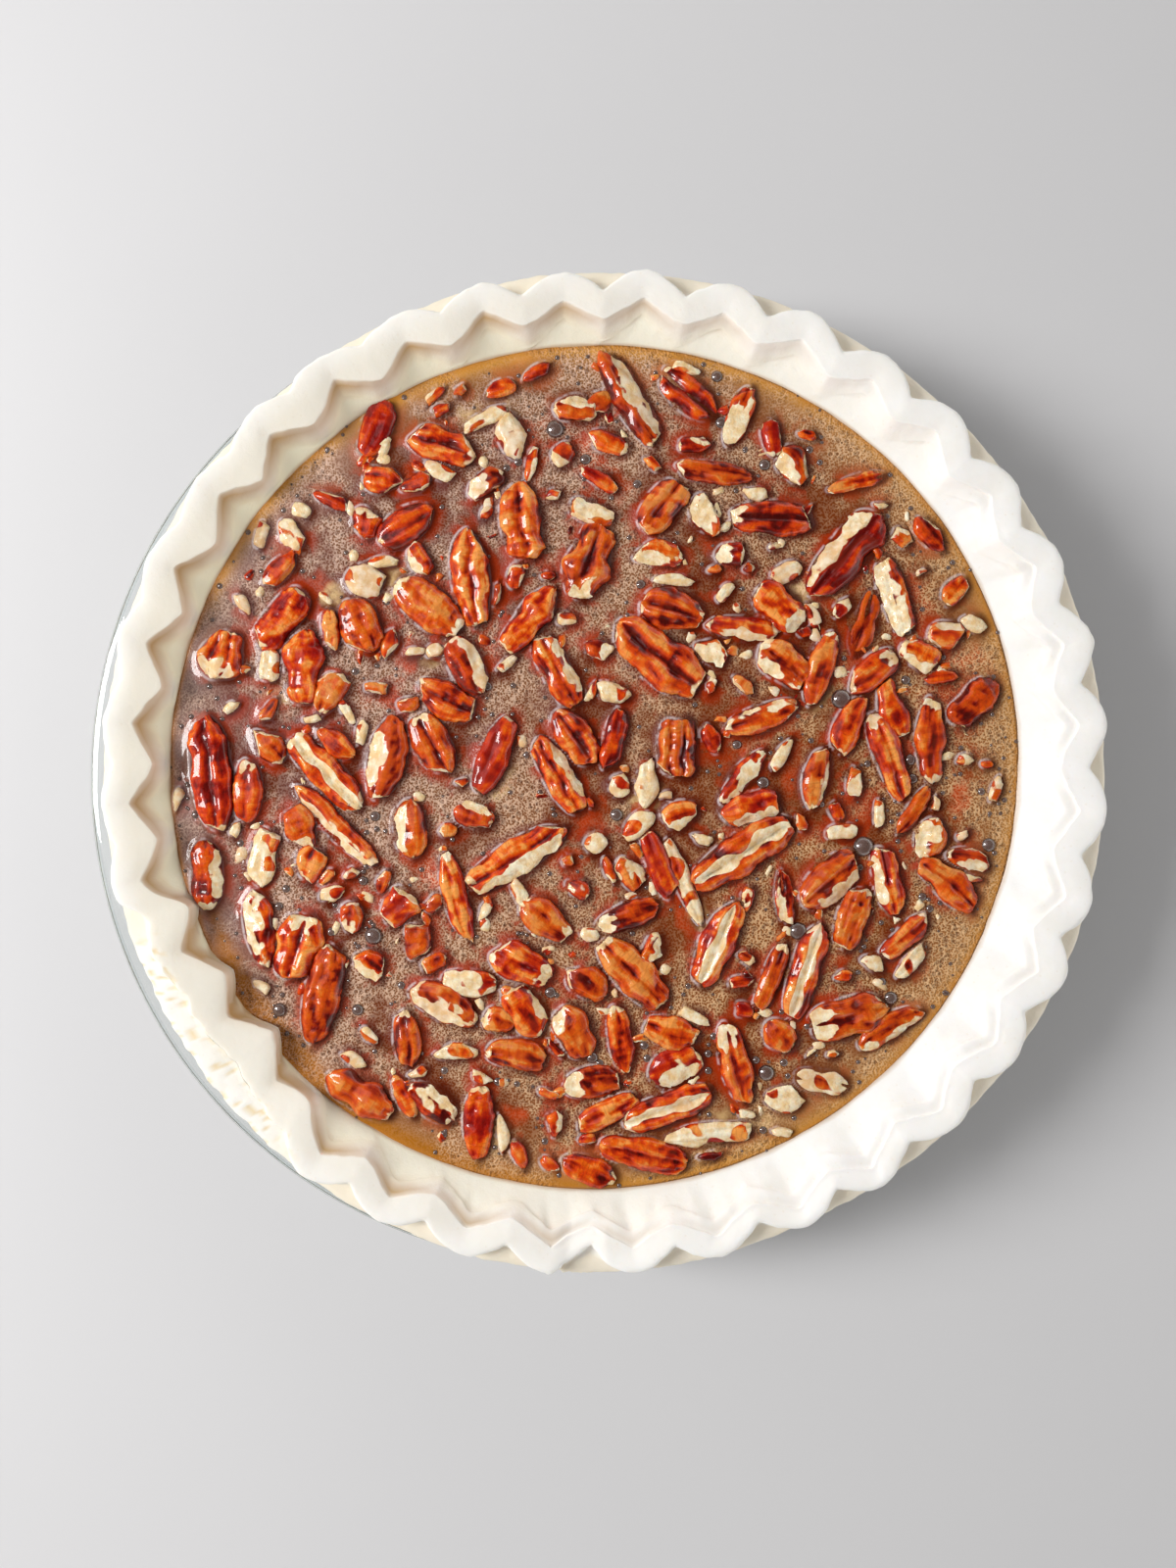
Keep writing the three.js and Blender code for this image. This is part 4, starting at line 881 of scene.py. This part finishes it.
def broken_edges(local, half, section, chance, seed):
    """The nut with flat breaks at its ends, or all round a chip, and the flesh that they bare."""
    flesh = np.zeros(local.shape[:2])
    for k in range(5 if section == "chip" else 2):
        if section == "chip":
            way, rise, keep = chance.uniform(0, 2 * math.pi), chance.uniform(-0.1, 0.6), (0.68, 0.95)
        else:
            way, rise, keep = k * math.pi + chance.normal() * 0.5, chance.uniform(-0.1, 0.4), (0.84, 1.0)
        normal = np.array([math.cos(way) * math.cos(rise), math.sin(way) * math.cos(rise), math.sin(rise)])
        reach = np.linalg.norm(normal * half) * chance.uniform(*keep)
        beyond = local @ normal - reach + 0.1 * ripple(local, 2, seed + 30 + k)
        local = broken_off(local, beyond, normal)
        flesh = np.maximum(flesh, chance.uniform(0.2, 1) * np.clip(0.5 + beyond / 0.8, 0, 1))
    return local, flesh


def laid_down(local, roll, heading):
    """The nut rolled about its own length and turned to its heading."""
    cos, sin = math.cos(roll), math.sin(roll)
    local = local @ np.array([[1, 0, 0], [0, cos, sin], [0, -sin, cos]])
    cos, sin = math.cos(heading), math.sin(heading)
    return local @ np.array([[cos, sin, 0], [-sin, cos, 0], [0, 0, 1]])


def nut_points(nut, look, rings, columns, seed):
    """The points of a nut, in place, and its attributes at each of them."""
    x, y, heading, length, width, section, lift, roll, blunt = nut
    thick = min(max(0.62 * width, 4.2), 7)
    chance = np.random.default_rng(seed)
    steps = np.linspace(0, 1, rings + 2)[1:-1]
    first = -0.8 if blunt == "both" else -1.0
    last = 0.8 if blunt else 1.0
    # Each from -1 to 1: p runs along the nut, v across it and h up it.
    p = first + (1 - np.cos(math.pi * steps)) / 2 * (last - first)
    a = np.arange(columns) * 2 * math.pi / columns
    p_grid, a_grid = np.meshgrid(p, a, indexing="ij")
    v, h = (np.sign(wave) * np.abs(wave) ** 0.85 for wave in (np.cos(a_grid), np.sin(a_grid)))
    wobble = ripple(np.stack([p * length / 2, p * 0], axis=-1), 9, seed + 1)
    share = (1 - np.abs(p) ** 2.9) ** 0.5 * (1 + 0.09 * wobble)
    if blunt:
        share = np.maximum(share, 0.35)
    share = share[:, None]
    grid = np.stack([p_grid * length / 2, v * width / 2, h * 2], axis=-1)
    groove = np.zeros_like(v)
    wander = 0.06 * ripple(np.stack([p_grid * length / 2, p_grid * 0], axis=-1), 9, seed + 2)
    for at, depth, breadth in GROOVES[section]:
        groove += depth * np.exp(-np.abs((v - at - wander) / breadth) ** 1.3) * (h > 0)
    ends = 1 - smoothstep(0.75, 1.0, np.abs(p_grid))
    groove *= ends
    lumps = ripple(grid * [0.55, 1, 1], 4.2, seed + 3)
    fine = ripple(grid * [1, 0.8, 1], 2.1, seed + 4, 20) + 0.5 * ripple(grid * [0.6, 1, 1], 1.3, seed + 7, 20)
    size = 1.0 if length > 12 else 0.7
    swell = (0.17 * lumps + 0.08 * fine) * size
    local = np.stack([
        p_grid * length / 2 + 0.25 * fine * size * np.abs(p_grid),
        v * width / 2 * share + swell * 0.8 * v,
        h * thick / 2 * share**0.7 * (1 - groove) + swell * np.maximum(h, 0) * np.sqrt(share),
    ], axis=-1)
    local[..., 1] += chance.normal() * 0.35 * (1 - p_grid**2) * size
    flesh = np.zeros_like(v)
    heading = math.radians(heading)
    half = np.array([length, width, thick]) / 2
    if look["cut"]:
        local, flesh = cut_face(local, half, lift, look["cut"], heading, seed)
    local, bare = broken_edges(local, half, section, chance, seed)
    flesh = np.maximum(flesh, bare)
    if look["stripe"]:
        band = 0.34 + 0.12 * ripple(grid, 7, seed + 8) - 0.3 * (1 - ends) - np.abs(v - 0.05 - wander)
        flesh = np.maximum(flesh, np.clip(0.5 + band * width / 2.8, 0, 1) * (h > 0))
    for end in (-1, 1):
        worn = chance.uniform(0, 0.85) * smoothstep(0.55, 1, p_grid * end)
        flesh = np.maximum(flesh, np.clip(worn + 0.3 * worn * ripple(grid, 3, seed + 9 + end), 0, 1))
    if look["cream"]:
        flesh = np.maximum(flesh, np.clip(0.8 + 0.45 * ripple(grid, 6, seed + 7), 0, 1))
    ridge = np.clip(0.3 + 0.62 * h - 1.4 * groove + 0.22 * lumps + 0.12 * fine, 0, 1)
    local = laid_down(local, math.radians(roll), heading)
    local += [x, y, SYRUP_LEVEL + lift - 0.43 * thick]
    points = np.vstack([[local[0].mean(axis=0)], local.reshape(-1, 3), [local[-1].mean(axis=0)]])

    def per_point(values, pole):
        return np.concatenate([[pole], values.reshape(-1), [pole]])

    return points, {
        "tone": np.full(len(points), look["tone"] + 0.05 * chance.normal()),
        "ridge": per_point(ridge, 0.4),
        "flesh": per_point(flesh, 1.0 if blunt else 0.0),
        "glaze": np.full(len(points), chance.uniform(0, 1)),
        "shade": np.full(len(points), chance.uniform(0, 1)),
        "along": per_point(grid[..., 0], 0) + seed * 3.7,
        "across": per_point(a_grid * width / 3, 0) + seed * 1.3,
    }


def nut_piece(name, nuts, rings, columns, material):
    """One object of one or more nuts; nuts are (nut, look, seed)."""
    points, faces, fits = [], [], []
    for nut, look, seed in nuts:
        some, fit = nut_points(nut, look, rings, columns, seed)
        faces += tube_faces(rings, columns, sum(len(p) for p in points))
        points.append(some)
        fits.append(fit)
    fit = {key: np.concatenate([f[key] for f in fits]) for key in fits[0]}
    along, across = fit.pop("along"), fit.pop("across")
    piece = finished(name, np.vstack(points), faces, material, fit)
    layer = piece.data.uv_layers.new(name="own")
    corners = np.empty(len(piece.data.loops), dtype=np.int64)
    piece.data.loops.foreach_get("vertex_index", corners)
    layer.data.foreach_set("uv", np.stack([along, across], axis=-1)[corners].astype(np.float32).ravel())
    return piece


def scattered_bits(nuts, count):
    """Small bits of skin and cream that lie in the syrup beside the nuts, as (nut, look, seed)."""
    chance = np.random.default_rng(17)
    bits = []
    while len(bits) < count:
        cx, cy, turn, half, wide = footprint(nuts[chance.integers(len(nuts))])
        way = chance.uniform(0, 2 * math.pi)
        off = chance.uniform(0.3, 3.4)
        along, across = (half + off) * math.cos(way), (wide + off) * math.sin(way)
        east, north = turned(along, across, -turn)
        x, y = cx + east, cy + north
        if math.hypot(x - BOWL_CENTRE[0], y - BOWL_CENTRE[1]) > SYRUP_RADIUS - 5:
            continue
        length = chance.uniform(2.2, 5.5)
        width = length * chance.uniform(0.45, 0.8)
        look = chance.choice(["6c", "5c", "7c", "6", "3", "8"])
        bits.append((x, y, chance.uniform(0, 180), length, width, "chip", 0.7, 0, "", look))
    return seeded(bits, 4000)


def footprint(nut):
    x, y, heading, length, width = nut[:5]
    return x, y, math.radians(heading), length / 2, width / 2


def shoreline(nut, look, seed):
    """Where the syrup meets a nut, by turn, as a share of the ellipse of its length and width."""
    points, _ = nut_points(nut, look, *SHORE_GRID, seed)
    x, y, turn, half, wide = footprint(nut)
    along, across = turned(points[:, 0] - x, points[:, 1] - y, turn)
    along, across = along / half, across / wide
    above = points[:, 2] > SYRUP_LEVEL - 0.2
    turns = 24
    which = ((np.arctan2(across, along) / (2 * math.pi) + 0.5) * turns).astype(int) % turns
    reach = np.full(turns, 0.3)
    np.maximum.at(reach, which[above], np.hypot(along, across)[above])
    return (np.roll(reach, 1) + 2 * reach + np.roll(reach, -1)) / 4


# ---- the syrup ----


def nut_marks(nuts, x, y):
    """What the nuts do to points of the syrup: nearness, climb, distance, far side and stand."""
    near, climb = np.zeros_like(x), np.zeros_like(x)
    gaps, lee, stand = np.full_like(x, 8.0), np.full_like(x, 0.5), np.full_like(x, 0.3)
    for nut, look, seed in nuts:
        cx, cy, turn, half, wide = footprint(nut)
        box = (np.abs(x - cx) < half + 8) & (np.abs(y - cy) < half + 8)
        reach = shoreline(nut, look, seed)
        ways = (np.arange(len(reach)) + 0.5) / len(reach) * 2 * math.pi - math.pi
        along, across = turned(x[box] - cx, y[box] - cy, turn)
        norm = np.sqrt((along / half) ** 2 + (across / wide) ** 2) + 1e-6
        norm /= np.interp(np.arctan2(across / wide, along / half), ways, reach, period=2 * math.pi)
        gap = (norm - 1) * np.hypot(along, across) / norm
        stands = min(max(0.5 * nut[6], 0.15), 0.95)
        near[box] = np.maximum(near[box], np.exp(-np.maximum(gap, 0) / 2.0))
        climb[box] = np.maximum(climb[box], 0.6 * stands * np.exp(-np.maximum(gap, -gap) / 1.3))
        nearest = gap < gaps[box]
        gaps[box] = np.where(nearest, gap, gaps[box])
        stand[box] = np.where(nearest, stands, stand[box])
        # The side that lies away from the light, from 0 to 1 round the nut.
        east, north = turned(along / half**2, across / wide**2, -turn)
        away = 0.5 + 0.5 * (0.97 * east - 0.24 * north) / (np.hypot(east, north) + 1e-6)
        lee[box] = np.where(nearest, away, lee[box])
    return near, climb, gaps, lee, stand


def sunken_marks(x, y, spot):
    """How far the pieces below the syrup show at its points, for each kind."""
    shows = {"red": np.zeros_like(x), "cream": np.zeros_like(x)}
    for cx, cy, heading, length, width, kind in SUNKEN:
        along, across = turned(x - cx, y - cy, math.radians(heading))
        norm = np.sqrt((2 * along / length) ** 2 + (2 * across / width) ** 2)
        norm += 0.15 * ripple(spot, 5, int(1000 + cx))
        shows[kind] = np.maximum(shows[kind], 1 - smoothstep(0.5, 1.25, norm))
    return shows


def syrup_piece(nuts):
    """The syrup as a square net drawn out to a disc, with sides and a bottom below its border."""
    side = np.linspace(-1, 1, SYRUP_LINES)
    u, v = np.meshgrid(side, side, indexing="ij")
    u, v = u * np.sqrt(1 - v * v / 2), v * np.sqrt(1 - u * u / 2)
    rim = syrup_edge(np.arctan2(v, u))
    x = BOWL_CENTRE[0] + (rim + 0.3) * u
    y = BOWL_CENTRE[1] + (rim + 0.3) * v
    spot = np.stack([x, y], axis=-1)
    height = SYRUP_LEVEL + 0.10 * ripple(spot, 22, 41) + 0.03 * ripple(spot, 5, 42, 20)
    near, climb, gaps, lee, stand = nut_marks(nuts, x, y)
    shows = sunken_marks(x, y, spot)
    inwards = rim - polar(x, y, BOWL_CENTRE)[0]
    height += climb + 0.2 * np.exp(-np.maximum(inwards, 0) / 0.9)
    top = np.stack([x, y, height], axis=-1).reshape(-1, 3)
    index = np.arange(x.size).reshape(x.shape)
    faces = np.stack([index[:-1, :-1], index[1:, :-1], index[1:, 1:], index[:-1, 1:]], axis=-1)
    faces = faces.reshape(-1, 4).tolist()
    border = np.concatenate([index[:-1, 0], index[-1, :-1], index[:0:-1, -1], index[0, :0:-1]])
    count = len(border)
    around = np.arctan2(top[border, 1] - BOWL_CENTRE[1], top[border, 0] - BOWL_CENTRE[0])
    rows = [top]
    above = border
    for radius, depth in ((84.7, 12.3), (76, SYRUP_BOTTOM)):
        below = np.arange(count) + sum(len(r) for r in rows)
        rows.append(np.stack([BOWL_CENTRE[0] + radius * np.cos(around),
                              BOWL_CENTRE[1] + radius * np.sin(around), np.full(count, depth)], axis=-1))
        faces += np.stack([above, below, np.roll(below, -1), np.roll(above, -1)], axis=-1).tolist()
        above = below
    rows.append(np.array([[*BOWL_CENTRE, SYRUP_BOTTOM]]))
    points = np.vstack(rows)
    pole = np.full(count, len(points) - 1)
    faces += np.stack([above, pole, np.roll(above, -1)], axis=-1).tolist()
    rest = len(points) - len(top)
    around = polar(x, y, RING_CENTRE)[1]
    lap = 2.5 * slump(around) + 1.2 * stretch(around, 188, 200, 245, 262)
    # Each attribute with its value on the hidden sides and bottom.
    fit = {
        "near": (near, 0), "lee": (lee, 0.5), "gap": (np.maximum(gaps, -0.6), 8), "stands": (stand, 0),
        "rim": (np.exp(-(np.maximum(inwards, 0) / 9) ** 2), 1),
        "shore": (np.exp(-(np.maximum(inwards - 0.2 * ripple(spot, 9, 43), 0) / 0.8) ** 2), 1),
        "edge": (smoothstep(0.25, 0.9, np.exp(-np.maximum(inwards - lap, 0) / 3.8)), 1),
        "red": (shows["red"], 0), "cream": (shows["cream"], 0),
    }
    fit = {key: np.append(values, np.full(rest, hidden)) for key, (values, hidden) in fit.items()}
    return finished("syrup", points, faces, syrup_material(), fit)


def bubble_piece():
    points, faces = [], []
    rings, columns = 7, 16
    ball = [(0, 0, 1)]
    for t in np.linspace(0, math.pi, rings + 2)[1:-1]:
        for s in np.arange(columns) * 2 * math.pi / columns:
            ball.append((math.sin(t) * math.cos(s), math.sin(t) * math.sin(s), math.cos(t)))
    ball = np.array([*ball, (0, 0, -1)]) * [1, 1, 0.6]
    for x, y, across in BUBBLES:
        faces += tube_faces(rings, columns, len(points))
        points += (ball * across / 2 + [x, y, SYRUP_LEVEL]).tolist()
    return finished("bubbles", points, faces, bubble_material())


def bubble_material():
    shader = Shader("bubble_film", Roughness=0.05, Coat_Weight=1.0, Coat_Roughness=0.02, Coat_IOR=1.9)
    span = shader.span
    normal = shader.add("ShaderNodeTexCoord").out("Normal")
    facing = 1 - shader.add("ShaderNodeSeparateXYZ", None, {0: normal}).out("Z")
    # painted shade and highlight: each bubble is painted dark towards its steep edge and pale at its very
    # rim, by the slope of its surface
    shader.colour = shader.mix(span(facing, 0.06, 0.4), rgb(118, 94, 86), rgb(34, 18, 14))
    shader.paint(span(facing, 0.76, 0.95) * 0.5, 168, 140, 124)
    shader.paint(span(shader.noise(500, 2), 0.4, 0.7) * 0.3, 150, 128, 124)
    return shader.set(Base_Color=shader.colour, Alpha=0.9 - span(facing, 0.0, 0.3, 1, 0) * 0.25)


FOAM = {"Bubbles per square metre": 24000.0, "Smallest radius": 0.3 * MM, "Largest radius": 0.75 * MM,
        "Clear of nuts": 0.9, "Seed": 7}


def foam_tree():
    """A node tree that scatters small flattened bubbles over the syrup, clear of the nuts."""
    nodes = Nodes(bpy.data.node_groups.new("scattered_foam", "GeometryNodeTree"))
    add, sides = nodes.add, nodes.tree.interface
    kinds = {"Syrup": "Geometry", **{label: "Float" for label in FOAM}, "Seed": "Int", "Film": "Material"}
    sockets = {
        label: sides.new_socket(label, in_out="INPUT", socket_type="NodeSocket" + kind).identifier
        for label, kind in kinds.items()
    }
    sides.new_socket("Bubbles", in_out="OUTPUT", socket_type="NodeSocketGeometry")
    given = add("NodeGroupInput")
    gap = add("GeometryNodeInputNamedAttribute", {"data_type": "FLOAT"}, {"Name": "gap"})
    clear = add("FunctionNodeCompare", {"operation": "GREATER_THAN"}, {0: gap, 1: given.out("Clear of nuts")})
    spread = add("GeometryNodeDistributePointsOnFaces", None, {
        "Mesh": given, "Selection": clear, "Density": given.out("Bubbles per square metre"),
        "Seed": given.out("Seed")})
    ball = add("GeometryNodeMeshUVSphere", None, {"Segments": 9, "Rings": 5, "Radius": 1.0})
    flat = add("GeometryNodeTransform", None, {"Geometry": ball, "Scale": (1, 1, 0.55)})
    size = add("FunctionNodeRandomValue", {"data_type": "FLOAT"}, {
        2: given.out("Smallest radius"), 3: given.out("Largest radius"), "Seed": given.out("Seed")}, 1)
    each = add("GeometryNodeInstanceOnPoints", None, {"Points": spread, "Instance": flat, "Scale": size})
    real = add("GeometryNodeRealizeInstances", None, {"Geometry": each})
    smooth = add("GeometryNodeSetShadeSmooth", None, {"Geometry": real})
    filmed = add("GeometryNodeSetMaterial", None, {"Geometry": smooth, "Material": given.out("Film")})
    add("NodeGroupOutput", None, {"Bubbles": filmed})
    return nodes.tree, sockets


def foam_piece(syrup, film):
    """Small bubbles over the top of the syrup, as a plain mesh."""
    top = bmesh.new()
    top.from_mesh(syrup.data)
    low = [face for face in top.faces if face.calc_center_median().z < (SYRUP_LEVEL - 0.6) * MM]
    bmesh.ops.delete(top, geom=low, context="FACES")
    mesh = bpy.data.meshes.new("foam_base")
    top.to_mesh(mesh)
    top.free()
    base = placed("foam_base", mesh)
    tree, sockets = foam_tree()
    scatter = base.modifiers.new("scatter", "NODES")
    scatter.node_group = tree
    for label, value in {**FOAM, "Film": film}.items():
        scatter[sockets[label]] = value
    shown = base.evaluated_get(bpy.context.evaluated_depsgraph_get())
    plain = bpy.data.meshes.new_from_object(shown)
    plain.name = "small_bubbles"
    base.modifiers.remove(scatter)
    bpy.data.objects.remove(base)
    return placed("small_bubbles", plain)


# ---- assembly ----

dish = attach(dish_piece(), "root")
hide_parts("dish")

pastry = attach(pastry_piece(), "root")
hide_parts("crust")

pecan = nut_material()
large = seeded(LARGE_NUTS, 100)
for i, nut in enumerate(large):
    half_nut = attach(nut_piece(f"nut_{i + 1:02d}", [nut], *LARGE_GRID, pecan), "root")
    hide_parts(f"pecan_{i + 1:02d}")

pieces = seeded([
    (x, y, heading, length, width, "chip" if length < 14 else "ridged", lift, 0, "", look)
    for x, y, heading, length, width, lift, look in STUCK_NUTS
], 900)
crumbled = seeded([(*place, "chip", 1.1, 0, "", look) for *place, look in CRUMBS], 2000)
bits = scattered_bits([nut for nut, _, _ in large + pieces], SMALL_BITS)

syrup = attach(syrup_piece(large + pieces + crumbled), "root")
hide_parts("filling")
for name, nuts, grid in (
    ("broken_nuts", pieces, BROKEN_GRID), ("crumbs", crumbled, CRUMB_GRID), ("small_bits", bits, BIT_GRID),
):
    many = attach(nut_piece(name, nuts, *grid, pecan), "root")
    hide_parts("filling")
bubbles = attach(bubble_piece(), "root")
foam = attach(foam_piece(syrup, bubbles.data.materials[0]), "root")
for film in (bubbles, foam):
    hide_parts("filling")

# ---- the floor ----

bpy.ops.mesh.primitive_plane_add(size=6, location=(0, 0, -0.0005))
floor = bpy.context.object
floor.name = "floor"
floor_shader = Shader("floor", Roughness=0.7)
floor_shader.set(Base_Color=floor_shader.mix(floor_shader.noise(3), rgb(214, 214, 216), rgb(222, 222, 223)))
floor.data.materials.append(floor_shader.material)
